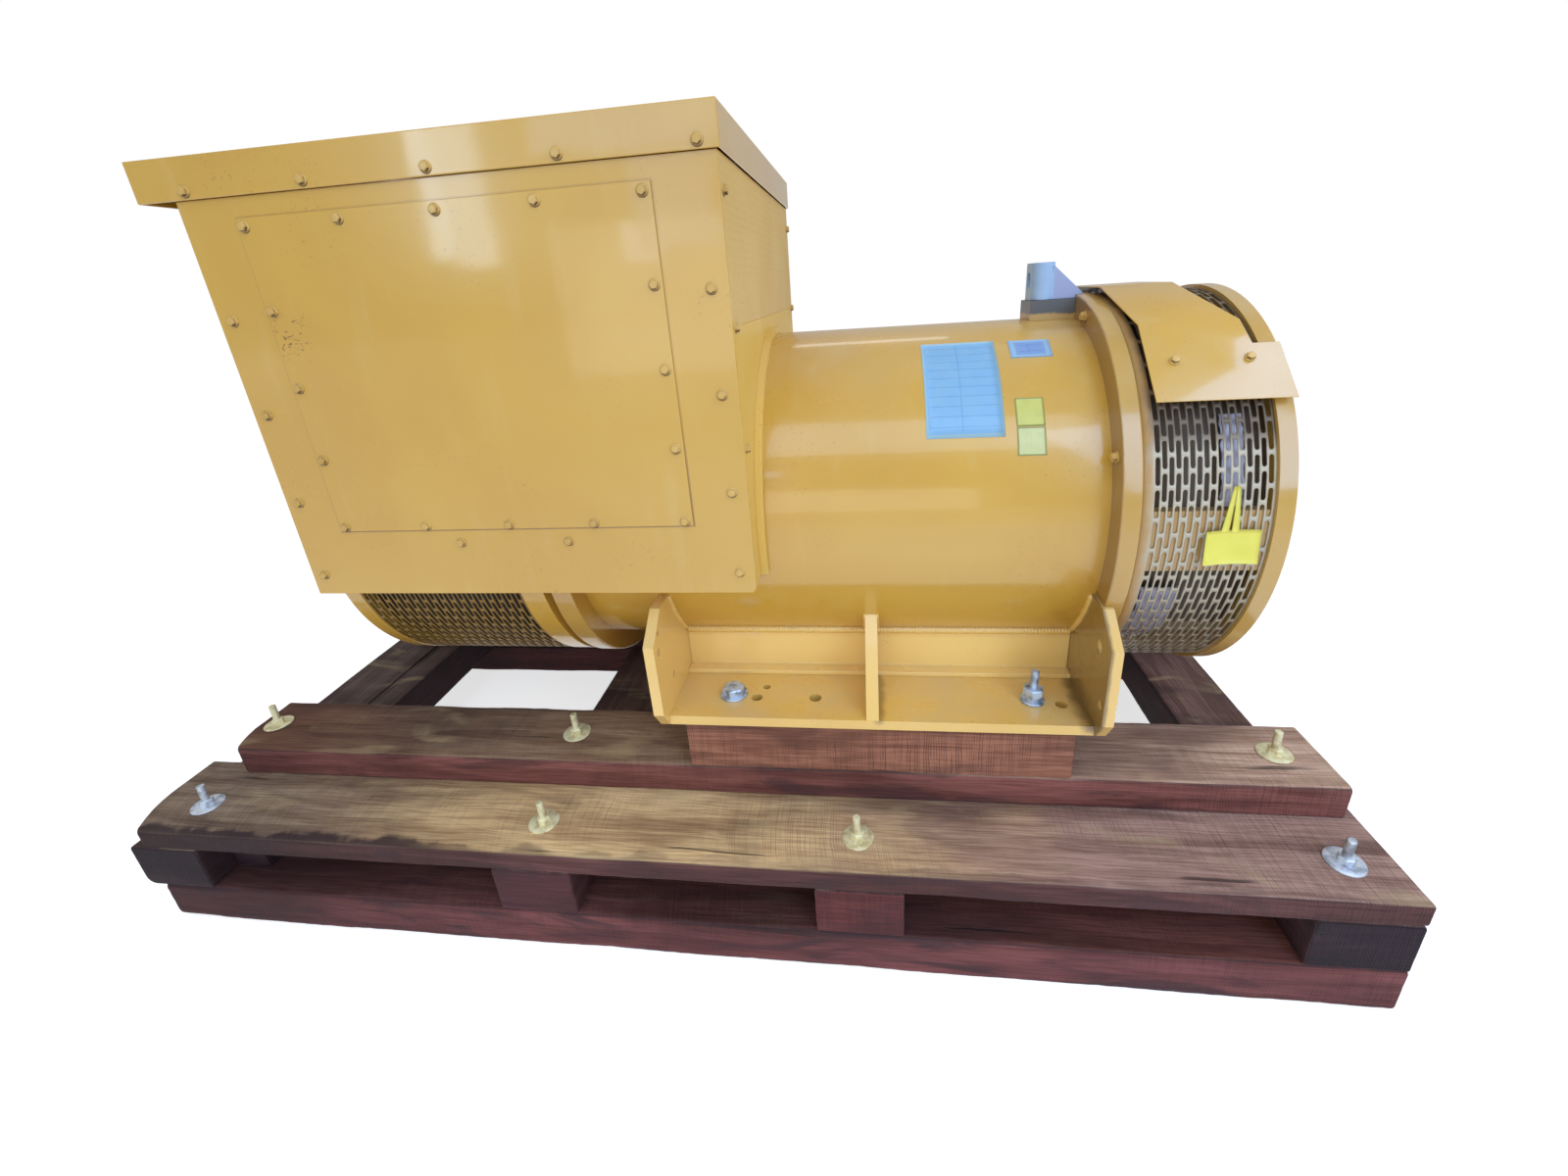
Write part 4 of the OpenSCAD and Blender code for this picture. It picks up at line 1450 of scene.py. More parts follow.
@dataclass
class Skid:
    """The timber skid and the studs that hold its layers, in millimetres.

    Studs count along the front deck and top planks, then along the far ones.
    """

    deck_studs: tuple[float, ...] = (-1193, -340, 345, 1243)
    top_studs: tuple[float, ...] = (-1170, -340, 1220)
    deck_stud_y: float = 536.0
    top_stud_y: float = 336.0
    bright_studs: tuple[int, ...] = (0, 3, 7, 10, 13)
    sunk: float = 0.4
    most_lean: float = 0.035
    clamp: Fixing = field(default_factory=Fixing)

    def finishes(self) -> dict[str, Timber]:
        """Each kind of timber by its tones and by how stained and how sawn it is.

        Returns:
            The finishes by kind.
        """
        lengthwise = {
            "bearer": ((128, 74, 72), (92, 58, 56), (112, 68, 62), (122, 72, 62), (76, 50, 58),
                       0.75, 0.25, 1.0, 0.05),
            "deck": ((102, 64, 60), (156, 134, 112), (228, 194, 142), (170, 136, 122),
                     (104, 70, 68), 0.55, 0.35, 1.0, 0.4, -0.62),
            # The top plank's lighter drive-end top tone is painted light beside the drive end of
            # the foot.
            "top_plank": ((136, 84, 76), (112, 76, 58), (164, 134, 106), (206, 172, 148),
                          (96, 62, 58), 0.5, 0.3),
            "block": ((164, 112, 88), (70, 50, 40), (70, 50, 40), (70, 50, 40), (116, 74, 62),
                      0.35, 0.6),
        }
        crosswise = {
            "beam": ((94, 58, 54), (112, 84, 72), (120, 90, 78), (116, 84, 76), (128, 66, 64),
                     0.3, 0.3),
            "dark_beam": ((88, 54, 52), (108, 82, 74), (116, 88, 78), (116, 84, 76), (86, 46, 50),
                          0.5, 0.3),
            "end_beam": ((78, 52, 54), (104, 86, 80), (112, 90, 80), (118, 90, 80), (36, 14, 28),
                         0.7, 0.3),
        }
        kinds = {}
        for kind, row in lengthwise.items():
            kinds[kind] = Timber(kind + "_timber", Slot.TIMBER, *row)
        for kind, row in crosswise.items():
            kinds[kind] = Timber(kind + "_timber", Slot.TIMBER, *row, run=Along.ACROSS)
        return kinds

    def build(self) -> None:
        """Builds every timber, then the studs on both sides."""
        f = self.finishes()
        front, far = (42.0, 170.0), (22.0, 120.0)
        boards = [
            Board("bearer_front", f["bearer"], 1, 5, 7, front, (0, 3, 16, 0)),
            Board("bearer_rear", f["bearer"], 2, 5, 6, far),
            Board("deck_plank_front", f["deck"], 3, 3, 4, (44.0, 120.0), (0, 5, 2, 0)),
            Board("deck_plank_rear", f["deck"], 4, 3, 4, far),
            Board("top_plank_front", f["top_plank"], 5, 4, 5, (26.0, 80.0), (0, 4, 0, 0)),
            Board("top_plank_rear", f["top_plank"], 6, 4, 4),
            Board("inner_plank_front", f["deck"], 7),
            Board("inner_plank_rear", f["deck"], 8),
            Board("foot_block_front", f["block"], 9, 2, 2),
            Board("foot_block_rear", f["block"], 10, 2, 2),
            Board("cross_beam_1", f["end_beam"], 11, 4, 4, blunt=(0, 6, 16, 0)),
            Board("cross_beam_2", f["dark_beam"], 12, 3, 3),
            Board("cross_beam_3", f["beam"], 13, 3, 3),
            Board("cross_beam_4", f["end_beam"], 14, 4, 4),
            Board("cross_beam_half", f["end_beam"], 15, 3, 3),
        ]
        for board in boards:
            add_piece(board.node + "_sawn", board.shell(), board.finish, (board.node,))
        self.build_studs()

    def build_studs(self) -> None:
        """Stands a washer, nut and stud at each place, leaning and turned a little."""
        rng = np.random.default_rng(5)
        deck_top, top_top = high("deck_plank_front")[2], high("top_plank_front")[2]
        near = [(x, -self.deck_stud_y, deck_top) for x in self.deck_studs]
        near += [(x, -self.top_stud_y, top_top) for x in self.top_studs]
        rows = np.array(near + [(x, -y, z) for x, y, z in near]) * [MM, MM, 1]
        rows[:, 2] -= self.sunk * MM
        tilt = rng.uniform(-self.most_lean, self.most_lean, (len(rows), 2))
        lean = np.column_stack([tilt, np.ones(len(rows))])
        places = standing(rows, lean, rng.uniform(0, TURN, len(rows)))
        bright = np.isin(np.arange(len(rows)), self.bright_studs)
        add_piece("skid_studs_yellow", self.clamp.clamp().repeated(places[~bright]), YELLOW_ZINC)
        add_piece("skid_studs_bright", self.clamp.clamp().repeated(places[bright]), ZINC)


# ---------------------------------------------------------------- machine


@dataclass
class Weld:
    """A rippled weld bead, in millimetres."""

    radius: float = 6.0
    ripple: float = 6.0

    def shell(self, path: Array, up: Array) -> Shell:
        """Carries an octagon along a path, its radius waving once in each ripple.

        Args:
            path: The bead's line, n by 3, in metres.
            up: A direction across the path, n by 3 or one for all.

        Returns:
            A closed shell with tapering ends.
        """
        step = np.linalg.norm(np.diff(path, axis=0), axis=1)
        run = np.concatenate([[0], np.cumsum(step)])
        s = np.linspace(0, run[-1], max(8, int(run[-1] / (self.ripple * MM / 4))))
        line = np.column_stack([np.interp(s, run, path[:, k]) for k in range(3)])
        ahead = np.gradient(line, axis=0)
        ahead /= np.linalg.norm(ahead, axis=1, keepdims=True)
        side = np.cross(ahead, np.broadcast_to(up, line.shape))
        side /= np.linalg.norm(side, axis=1, keepdims=True)
        waves = 0.07 * np.sin(s * TURN / (self.ripple * MM))
        r = self.radius * MM * (1 + waves + 0.05 * wander(s * 9, 3))
        r *= np.clip(np.minimum(s, s[-1] - s) / (self.radius * MM) + 0.35, 0, 1)
        a = np.arange(8) * TURN / 8
        section = r[:, None, None] * np.stack([np.cos(a), np.sin(a)], -1)
        return swept(line, side, np.cross(side, ahead), section)


@dataclass
class Feet:
    """The welded feet and their hold-down fixings, in millimetres and degrees from the top."""

    bolt_y: float = 361.0
    stud_x: float = 712.5
    head_x: float = 71.5
    lip: float = 32.0
    rib_half: float = 13.0
    end_weld_from: float = 112.0
    rib_weld_from: float = 123.5
    lip_weld: Weld = field(default_factory=lambda: Weld(9.0, 7.0))
    end_weld: Weld = field(default_factory=lambda: Weld(6.5))
    rib_weld: Weld = field(default_factory=lambda: Weld(5.0))
    head: Fixing = field(default_factory=lambda: Fixing(31, 5, 44, 17))
    stud: Fixing = field(default_factory=lambda: Fixing(25, 5, 38, 28, 8.5, 40))

    def build(self) -> None:
        """Rounds the plates' edges, then adds welds and fixings on both sides."""
        for side in ("front", "rear"):
            soften("foot_plate_" + side, OCHRE_FEET_LIT_AND_SHADED, 1.6)
            soften("foot_gussets_" + side, OCHRE_GUSSET_LIT_AND_SHADED, 2.2, 3)
            soften("foot_web_" + side, OCHRE_WEB_LIT, 1.6)
        self.build_welds()
        self.build_fixings()

    def build_welds(self) -> None:
        """Beads on the frame: along the web's lip, and down each end plate and the rib's sides."""
        web_lo, web_hi = low("foot_web_front"), high("foot_web_front")
        x0, x1 = web_lo[0], web_hi[0]
        lip_angle = math.pi - math.asin(-(float(web_lo[1]) + self.lip * MM) / FRAME_R)
        lip = on_shaft(np.array([x0, x1]), lip_angle - 0.008, FRAME_R + 4 * MM)
        beads = [self.lip_weld.shell(lip, (0.0, -1.0, 0.0))]
        middle, half = (x0 + x1) / 2, self.rib_half * MM
        rib = (middle - half, middle + half)
        for weld, xs, start, steps in ((self.end_weld, (x0, x1), self.end_weld_from, 24),
                                       (self.rib_weld, rib, self.rib_weld_from, 12)):
            angles = np.linspace(math.radians(start), lip_angle, steps)
            beads += [weld.shell(on_shaft(x, angles, FRAME_R + MM), (1.0, 0.0, 0.0)) for x in xs]
        near = joined([b.outward() for b in beads])
        flip = np.diag([1.0, -1.0, 1.0, 1.0])[None]
        add_piece("foot_welds_front", near, OCHRE_FEET_LIT_AND_SHADED)
        add_piece("foot_welds_rear", near.repeated(flip), OCHRE_FEET_LIT_AND_SHADED)

    def build_fixings(self) -> None:
        """A headed bolt and a slightly leaning stud with its nut in each foot."""
        z, y = high("foot_plate_front")[2] - SUNK, self.bolt_y * MM
        heads = [(self.head_x * MM, side * y, z) for side in (-1, 1)]
        studs = [(self.stud_x * MM, side * y, z) for side in (-1, 1)]
        parts = [self.head.head().repeated(standing(heads, (0, 0, 1), 0.4)),
                 self.stud.clamp().repeated(standing(studs, (0.03, 0.02, 1), 0.2))]
        add_piece("hold_down_fixings", joined(parts), BLUE_ZINC)


# A cell of the slotted screen: six lattice points, on its right and left and a half cell above,
# level and below, and the triangles that join them to the ten points round the slot.
CELL_CORNERS = (
    ("RT", 1, 1), ("R0", 1, 0), ("RB", 1, -1), ("LT", 0, 1), ("L0", 0, 0), ("LB", 0, -1),
)
CELL_TRIANGLES = (
    ("R0", 0, 9), ("RT", 0, "R0"), ("RB", "R0", 9), ("RT", 1, 0), ("RT", 2, 1), ("RT", "LT", 2),
    ("LT", 3, 2), ("LT", 4, 3), ("LT", "L0", 4), ("L0", 5, 4), ("L0", "LB", 5), ("LB", 6, 5),
    ("LB", 7, 6), ("LB", "RB", 7), ("RB", 8, 7), ("RB", 9, 8),
)
SLOT_ANGLES = np.radians([0, 50, 90, 130, 180, 180, 230, 270, 310, 360])
SLOT_ENDS = np.repeat([1, -1], 5)


@dataclass
class Slots:
    """Rows of long slots in a round screen, in millimetres."""

    node: str
    start: float
    columns: int
    pitch: float = 11.3
    wide: float = 8.2
    long: float = 50.0
    per_turn: int = 45
    wall: float = 2.0

    def shell(self) -> Shell:
        """Cuts one oblong slot in each cell of a staggered lattice wrapped round the shaft.

        A column's cells are half a cell out of step with its neighbours, so that lattice points
        lie at every half cell. Ten points round each slot are joined to the cell's six by
        triangles, on the outer and the inner face, and to each other through the wall.

        Returns:
            A closed shell.
        """
        around = 2 * self.per_turn
        flat, slot = self.points()
        points = np.vstack([flat, slot.reshape(-1, 3)])
        spoke = points * [0, 1, 1] - np.array([0, 0, SHAFT_Z])
        inner = points - spoke / np.linalg.norm(spoke, axis=1, keepdims=True) * self.wall * MM
        m = len(points)
        cell = len(flat) + np.arange(self.columns * self.per_turn * 10).reshape(-1, 10)
        tris = self.triangles(cell)
        j = np.arange(around)
        after = (j + 1) % around
        collar = np.stack([j, around + j, around + after, after], -1)
        quads = np.concatenate([collar, collar + (self.columns + 1) * around])
        beyond = np.roll(cell, -1, axis=1)
        walls = np.stack([cell, beyond, beyond + m, cell + m], -1).reshape(-1, 4)
        last = (self.columns + 2) * around
        rims = [np.stack([j, after, after + m, j + m], -1),
                np.stack([last + j + m, last + after + m, last + after, last + j], -1)]
        faces = [tris, tris[:, ::-1] + m, quads, quads[:, ::-1] + m, walls, *rims]
        smooth = [True, True, True, True, False, False, False]
        return Shell(
            np.vstack([points, inner]),
            np.concatenate([f.ravel() for f in faces]),
            np.concatenate([np.full(len(f), f.shape[1]) for f in faces]),
            np.concatenate([np.full(len(f), s) for f, s in zip(faces, smooth)]),
        ).outward()

    def cells(self) -> tuple[Array, Array]:
        """Each cell's column, and its middle in half cells round the shaft."""
        c, k = np.meshgrid(np.arange(self.columns), np.arange(self.per_turn), indexing="ij")
        return c, 2 * k + c % 2

    def points(self) -> tuple[Array, Array]:
        """Places the lattice, with a collar at each end, and the ten points round each slot.

        Returns:
            Lattice points as one row each, and slot points, columns by cells by 10 by 3.
        """
        lo, hi = low(self.node), high(self.node)
        radius = (hi[2] - lo[2]) / 2
        half = math.pi / self.per_turn
        x_line = self.start * MM + np.arange(self.columns + 1) * self.pitch * MM
        x_line = np.concatenate([[lo[0]], x_line, [hi[0]]])
        turns = np.arange(2 * self.per_turn) * half
        lattice = on_shaft(x_line[:, None], turns[None], radius)
        c, middle = self.cells()
        rim = self.wide * MM / 2
        up = SLOT_ENDS * (self.long * MM / 2 - rim)
        x = (self.start * MM + (c + 0.5) * self.pitch * MM)[..., None] + rim * np.cos(SLOT_ANGLES)
        angle = (middle * half)[..., None] + (up + rim * np.sin(SLOT_ANGLES)) / radius
        return lattice.reshape(-1, 3), on_shaft(x, angle, radius)

    def triangles(self, cell: Array) -> Array:
        """Joins each cell's lattice points to its slot's points.

        Args:
            cell: Numbers of the points round each slot, one row a cell.

        Returns:
            Triangles, one row each.
        """
        around = 2 * self.per_turn
        c, middle = self.cells()
        col, mid = c.ravel() + 1, middle.ravel()
        corner = {name: (col + dx) * around + (mid + da) % around for name, dx, da in CELL_CORNERS}
        corner.update({key: cell[:, key] for key in range(10)})
        tris = [np.stack([corner[key] for key in row], -1) for row in CELL_TRIANGLES]
        return np.concatenate(tris)


# The drum that closes the view behind a screen's slots, a dark sheet standing for the shade inside.
LINING_R, LINING_WALL, LINING_STEPS = 0.384, 1.5 * MM, 90


def lining(x0: float, x1: float) -> Shell:
    """A thin open drum about the shaft: a rectangle x0..x1 by its wall carried round the axis.

    Args:
        x0: Where it starts along the shaft.
        x1: Where it ends.

    Returns:
        A closed shell.
    """
    inner = LINING_R - LINING_WALL
    section = np.array([(x0, LINING_R), (x1, LINING_R), (x1, inner), (x0, inner)])
    a = np.arange(LINING_STEPS) * TURN / LINING_STEPS
    points = on_shaft(section[:, None, 0], a[None], section[:, None, 1])
    return Shell.grid(points, round_u=True, round_v=True).outward()


@dataclass
class CurvedPlate:
    """A thin plate on the round frame, in millimetres along the shaft and degrees from the top."""

    name: str
    x0: float
    x1: float
    angle0: float
    angle1: float
    finish: Finish
    lift: float = 0.9

    def build(self) -> None:
        """Wraps a grid of length by angle round the frame, its outer face proud by the lift."""
        nx, na = 9, 13
        x = np.linspace(self.x0, self.x1, nx) * MM
        a = np.radians(np.linspace(self.angle0, self.angle1, na))
        outer = on_shaft(x[:, None], a[None], FRAME_R + self.lift * MM)
        inner = on_shaft(x[:, None], a[None], FRAME_R + 0.05 * MM)
        uv = np.stack(np.meshgrid(np.linspace(0, 1, nx), np.linspace(0, 1, na), indexing="ij"), -1)
        add_piece(self.name, sandwich(outer, inner, uv=uv), self.finish)


@dataclass
class Machine:
    """The stator frame, its flanges, plates and lug, in millimetres and in degrees from the top."""

    bolt_angles: tuple[float, ...] = (17, 68, 158)
    bolt_r: float = 391.0
    bolt: Fixing = field(default_factory=lambda: Fixing(12, 2, 17, 8))

    def build(self) -> None:
        """Rounds the turned parts' edges and adds bolts and plates."""
        dress_node("stator_frame", OCHRE)
        for node in ("frame_flange_drive", "frame_flange_rear"):
            soften(node, OCHRE_RIM_SHADED, 3.0, 3)
        soften("drive_end_ring", OCHRE_RIM_SHADED, 2.0, 3)
        soften("rear_end_shield", OCHRE, 3.0, 3)
        soften("lifting_lug", LUG, 2.0, 2)
        dress_node("drive_bracket", OCHRE_ARMS_SHADED)
        soften("rear_bracket", OCHRE, 2.5)
        self.build_bolts()
        self.build_plates()

    def build_bolts(self) -> None:
        """Hexagon heads on the back of the drive flange, mirrored about the top."""
        angles = np.radians([s * a for s in (1, -1) for a in self.bolt_angles])
        places = on_shaft(float(low("frame_flange_drive")[0]) + SUNK, angles, self.bolt_r * MM)
        bolts = self.bolt.head().repeated(standing(places, (-1, 0, 0), angles))
        add_piece("drive_flange_bolts", bolts, OCHRE_BOLTS_SHADED_BELOW)

    def build_plates(self) -> None:
        """The rating plate, the strip beside it and the two-part label, all without lettering."""
        slot = Slot.PAINT
        blue = Ruled("blue_plate", slot, (122, 168, 202), (102, 142, 184), (150, 182, 192))
        strip = Ruled("grey_blue_strip", slot, (118, 148, 192), (92, 116, 176), (140, 172, 198),
                      rules=3.0, rim=0.16)
        upper = Ruled("yellow_label", slot, (190, 188, 98), (182, 182, 92), (146, 150, 84),
                      rules=1.0, rim=0.05)
        pale = Ruled("pale_yellow_label", slot, (192, 192, 130), (184, 186, 122), (146, 150, 96),
                     rules=1.0, rim=0.05)
        CurvedPlate("rating_plate", 490, 635, 23.5, 60.5, blue).build()
        CurvedPlate("small_strip", 662, 741, 24.0, 33.0, strip).build()
        CurvedPlate("label_upper", 656, 707, 48.6, 57.6, upper).build()
        CurvedPlate("label_lower", 656, 707, 57.9, 66.3, pale).build()


@dataclass
class DriveEnd:
    """The drive-end screen, what shows behind it, its hood, tag and coupling, in millimetres.

    Film strips are x0, x1, two angles from the top in degrees, and a seed. Tag straps are how far
    their foot and their top stand from the tag's middle along the shaft.
    """

    slots: Slots = field(default_factory=lambda: Slots("drive_screen", 874.0, 17))
    flange_t: float = 18.0
    sill: Pair = (123, 237)
    sill_lift: float = 35.5
    hood_bolts: Pair = (918.0, 1040.0)
    hood_lift: float = 18.0
    hood_step: float = math.radians(22.5)
    hood_screw: Screw = field(default_factory=lambda: Screw(flange_r=9, across=13))
    coupling_bolts: int = 8
    coupling_bolts_r: float = 112.0
    coupling_bolt: Fixing = field(default_factory=lambda: Fixing(16, 3, 24, 11))
    tag_corner: Triple = (961.0, -416.5, 892.0)
    tag_size: Pair = (88.0, 62.0)
    tag_straps: tuple[Pair, ...] = ((-9.0, -3.0), (8.0, 2.0))
    strap_foot: Triple = (1001.0, -417.5, 890.0)
    strap_tall: float = 82.0
    film: tuple[tuple[float, float, float, float, int], ...] = (
        (986.0, 1022.0, 58, 81, 4), (882.0, 950.0, 104, 126, 9),
    )
    film_r: float = 403.0

    def build(self) -> None:
        """Builds the screen, its lining and sill, the hood, the coupling, the tag and the film."""
        add_piece("drive_screen_slotted", self.slots.shell(), OCHRE_SCREEN_SHEEN_AND_SHADE, ("drive_screen",))
        x0 = float(low("drive_bracket")[0]) + self.flange_t * MM
        x1 = float(high("drive_bracket")[0])
        add_piece("drive_lining", lining(x0, x1 - MM), SHADE_BEHIND)
        CurvedPlate("drive_sill", x0 / MM, x1 / MM, *self.sill, OCHRE_SILL_SHADED, self.sill_lift).build()
        soften("drip_hood", OCHRE, 0.9, 2)
        dress_node("cooling_fan", INSIDE_SHADE)
        dress_node("rotor_shaft", BARE_STEEL)
        dress_node("coupling_discs", BARE_STEEL)
        self.build_hood_bolts()
        self.build_coupling_bolts()
        self.build_tag()
        self.build_film()

    def build_hood_bolts(self) -> None:
        """Two screws on each sloping panel of the hood, standing square to it."""
        step = self.hood_step
        ring = (high("drive_end_ring")[2] - low("drive_end_ring")[2]) / 2
        flat = (ring + self.hood_lift * MM) * math.cos(step / 2) + 0.2 * MM
        angles = np.array([2 * step, 2 * step, -2 * step, -2 * step])
        places = on_shaft(np.array(self.hood_bolts * 2) * MM, angles, flat)
        normals = np.stack([0 * angles, -np.sin(angles), np.cos(angles)], -1)
        screws = self.hood_screw.shell().repeated(standing(places, normals, 0.3))
        add_piece("hood_screws", screws, OCHRE_BOLTS_SHADED_BELOW)

    def build_coupling_bolts(self) -> None:
        """A ring of hexagon heads that hold the discs to the hub."""
        angles = np.arange(self.coupling_bolts) * TURN / self.coupling_bolts
        face = float(high("coupling_discs")[0]) - SUNK
        places = on_shaft(face, angles, self.coupling_bolts_r * MM)
        bolts = self.coupling_bolt.head().repeated(standing(places, (1, 0, 0), angles))
        add_piece("coupling_bolts", bolts, ZINC)

    def build_tag(self) -> None:
        """A blank card whose sides curl outwards as (2u - 1) squared, hung by tapering straps."""
        tag = Plain("yellow_tag", Slot.PAINT, (226, 216, 96), (214, 202, 74), 0.45)
        u, v = np.meshgrid(np.linspace(0, 1, 15), np.linspace(0, 1, 9), indexing="ij")
        (x, y, z), (wide, tall) = np.array(self.tag_corner) * MM, np.array(self.tag_size) * MM
        bulge = y - 0.005 * (2 * u - 1) ** 2 - 0.006 * v ** 2
        card = np.stack([x + wide * u, bulge, z - tall * v + 0.003 * u], -1)
        parts = [sandwich(card, card + [0, 1.1 * MM, 0])]
        x, y, z = np.array(self.strap_foot) * MM
        for foot, top in np.array(self.tag_straps) * MM:
            t = np.linspace(0, 1, 9)[:, None] * np.ones((1, 2))
            edge = np.array([-0.006, 0.006])[None] * (1 - 0.6 * t)
            rise = z + self.strap_tall * MM * t
            strap = np.stack([x + foot + (top - foot) * t + edge, y + 0.004 * t ** 2, rise], -1)
            parts.append(sandwich(strap, strap + [0, 1.2 * MM, 0]))
        add_piece("blank_tag", joined(parts), tag)

    def build_film(self) -> None:
        """Strips of crumpled pale film behind the slots, their radius and edges wandering."""
        film = Plain("pale_film", Slot.PAINT, (188, 184, 198), (138, 132, 142), 0.3)
        parts = []
        for x0, x1, start, end, seed in self.film:
            u, v = np.meshgrid(np.linspace(0, 1, 14), np.linspace(0, 1, 30), indexing="ij")
            r = self.film_r * MM + 0.003 * wander(u * 2.0 + v * 3.0, seed)
            x = x0 * MM + (x1 - x0) * MM * u + 0.004 * wander(v * 2, seed + 1)
            a = np.radians(start + (end - start) * v)
            parts.append(sandwich(on_shaft(x, a, r), on_shaft(x, a, r - 0.6 * MM)))
        add_piece("left_film", joined(parts), film)


@dataclass
class RearEnd:
    """The rear screen, its lining and the end shield's bolts, in millimetres.

    The bearing cap stands off the shield and nearly meets the wall of the terminal box, so the
    cap's bolts stand round it on the shield.
    """

    slots: Slots = field(default_factory=lambda: Slots("rear_screen", -734.5, 33))
    cap_t: float = 18.0
    rim_bolts: int = 12
    rim_bolts_r: float = 385.0
    rim_bolt: Fixing = field(default_factory=lambda: Fixing(13, 2.5, 19, 9))
    cap_bolts: int = 6
    cap_bolts_r: float = 165.0
    cap_bolt: Fixing = field(default_factory=lambda: Fixing(9, 2, 13, 6))

    def build(self) -> None:
        """Builds the screen, its dark lining and two rings of bolts on the end shield."""
        add_piece("rear_screen_slotted", self.slots.shell(), OCHRE_REAR_SHADED, ("rear_screen",))
        lo, hi = low("rear_screen"), high("rear_screen")
        add_piece("rear_lining", lining(float(lo[0]) + MM, float(hi[0]) - MM), INSIDE_SHADE)
        face = float(low("rear_end_shield")[0]) + self.cap_t * MM + SUNK
        rim = (np.arange(self.rim_bolts) + 0.5) * TURN / self.rim_bolts
        cap = np.arange(self.cap_bolts) * TURN / self.cap_bolts
        rings = ((self.rim_bolt, rim, self.rim_bolts_r), (self.cap_bolt, cap, self.cap_bolts_r))
        parts = []
        for bolt, angles, radius in rings:
            places = standing(on_shaft(face, angles, radius * MM), (-1, 0, 0), angles)
            parts.append(bolt.head().repeated(places))
        add_piece("rear_shield_bolts", joined(parts), OCHRE_BOLTS_SHADED_BELOW)


@dataclass
class TerminalBox:
    """The saddle terminal box and its screws. Screw places are millimetres along X and up Z."""

    cover_x: tuple[float, ...] = (-681, -500, -322, -146, 35)
    cover_z: tuple[float, ...] = (1493, 1354, 1216, 1076, 935)
    wall_x: tuple[float, ...] = (-771, 130)
    wall_z: tuple[float, ...] = (1342, 1168, 989, 827)
    foot_row: tuple[tuple[float, float], ...] = ((-436, 897), (-207, 897))
    skirt_x: tuple[float, ...] = (-769, -543, -318, -94, 132)
    skirt_z: float = 1554.0
    end_y: float = 412.0
    end_z: tuple[float, ...] = (1487, 1278, 1067)
    screw: Screw = field(default_factory=Screw)

    def build(self) -> None:
        """Rounds the sheets' edges and sets the screws."""
        lo, hi = low("access_cover_front"), high("access_cover_front")
        mid, half = (lo + hi) / 2, (hi - lo) / 2
        outline = tuple(float(v) for v in (mid[0], mid[2], half[0], half[2]))
        # The panels' cover outline is a dark joint with painted shadow along its lower side.
        joint = replace(OCHRE_PANEL, outline=outline)
        for node in ("side_panel_front", "side_panel_rear"):
            soften(node, joint, 1.2)
        for node in ("end_wall_drive", "end_wall_rear"):
            soften(node, OCHRE_WALL_LIT, 1.2)
        for node in ("saddle_plate", "box_floor"):
            soften(node, OCHRE_SADDLE_LIT, 1.0)
        soften("saddle_seal", OCHRE_SADDLE_LIT, 2.0)
        soften("box_lid", OCHRE, 2.5, 3)
        for node in ("access_cover_front", "access_cover_rear"):
            soften(node, OCHRE_COVER, 0.9)
        self.build_screws()

    def build_screws(self) -> None:
        """Stands every screw square to its sheet, the far side mirrored from the near one."""
        panel = float(low("side_panel_front")[1])
        cover = float(low("access_cover_front")[1])
        skirt = float(low("box_lid")[1])
        top, *between, bottom = self.cover_z
        rows = [(x, z, cover) for x in self.cover_x for z in (top, bottom)]
        rows += [(x, z, cover) for x in (self.cover_x[0], self.cover_x[-1]) for z in between]
        rows += [(x, z, panel) for x in self.wall_x for z in self.wall_z]
        rows += [(x, z, panel) for x, z in self.foot_row]
        rows += [(x, self.skirt_z, skirt) for x in self.skirt_x]
        near = np.array([(x * MM, y + SUNK, z * MM) for x, z, y in rows])
        far = near * [1, -1, 1]
        spin = np.random.default_rng(8).uniform(0, TURN, len(near))
        parts = [self.screw.shell().repeated(standing(near, (0, -1, 0), spin)),
                 self.screw.shell().repeated(standing(far, (0, 1, 0), spin))]
        for node, side in (("end_wall_drive", 1), ("end_wall_rear", -1)):
            x = float(high(node)[0]) - SUNK if side > 0 else float(low(node)[0]) + SUNK
            spots = [(x, y * MM, z * MM) for y in (-self.end_y, self.end_y) for z in self.end_z]
            parts.append(self.screw.shell().repeated(standing(spots, (side, 0, 0), 0.5)))
        add_piece("box_screws", joined(parts), OCHRE_BOLTS_SHADED_BELOW)


# ---------------------------------------------------------------- studio


@dataclass
class Lamp:
    """A rectangular soft box that faces a point, its roll in degrees, seen in gloss if mirrored."""

    name: str
    spot: Triple
    aim: Triple
    size: Pair
    power: float
    tint: Triple = (0.97, 0.98, 1.0)
    roll: float = 0.0
    mirrored: bool = True

    def build(self) -> None:
        """Adds the lamp to the scene."""
        data = bpy.data.lights.new(self.name, "AREA")
        data.shape, (data.size, data.size_y) = "RECTANGLE", self.size
        data.energy, data.color = self.power, self.tint
        lamp = bpy.data.objects.new(self.name, data)
        lamp.location = self.spot
        lamp.visible_glossy = self.mirrored
        way = (Vector(self.aim) - Vector(self.spot)).to_track_quat("-Z", "Y")
        lamp.rotation_euler = (way @ Quaternion((0, 0, 1), math.radians(self.roll))).to_euler()
        bpy.context.scene.collection.objects.link(lamp)


# Tints of the lamps.
DAYLIGHT, SKY, DEEP_SKY = (0.6, 0.8, 1.0), (0.56, 0.76, 1.0), (0.32, 0.56, 1.0)
PANE, SMALL_PANE, WARM = (0.35, 0.6, 1.0), (0.5, 0.7, 1.0), (1.0, 0.99, 0.98)


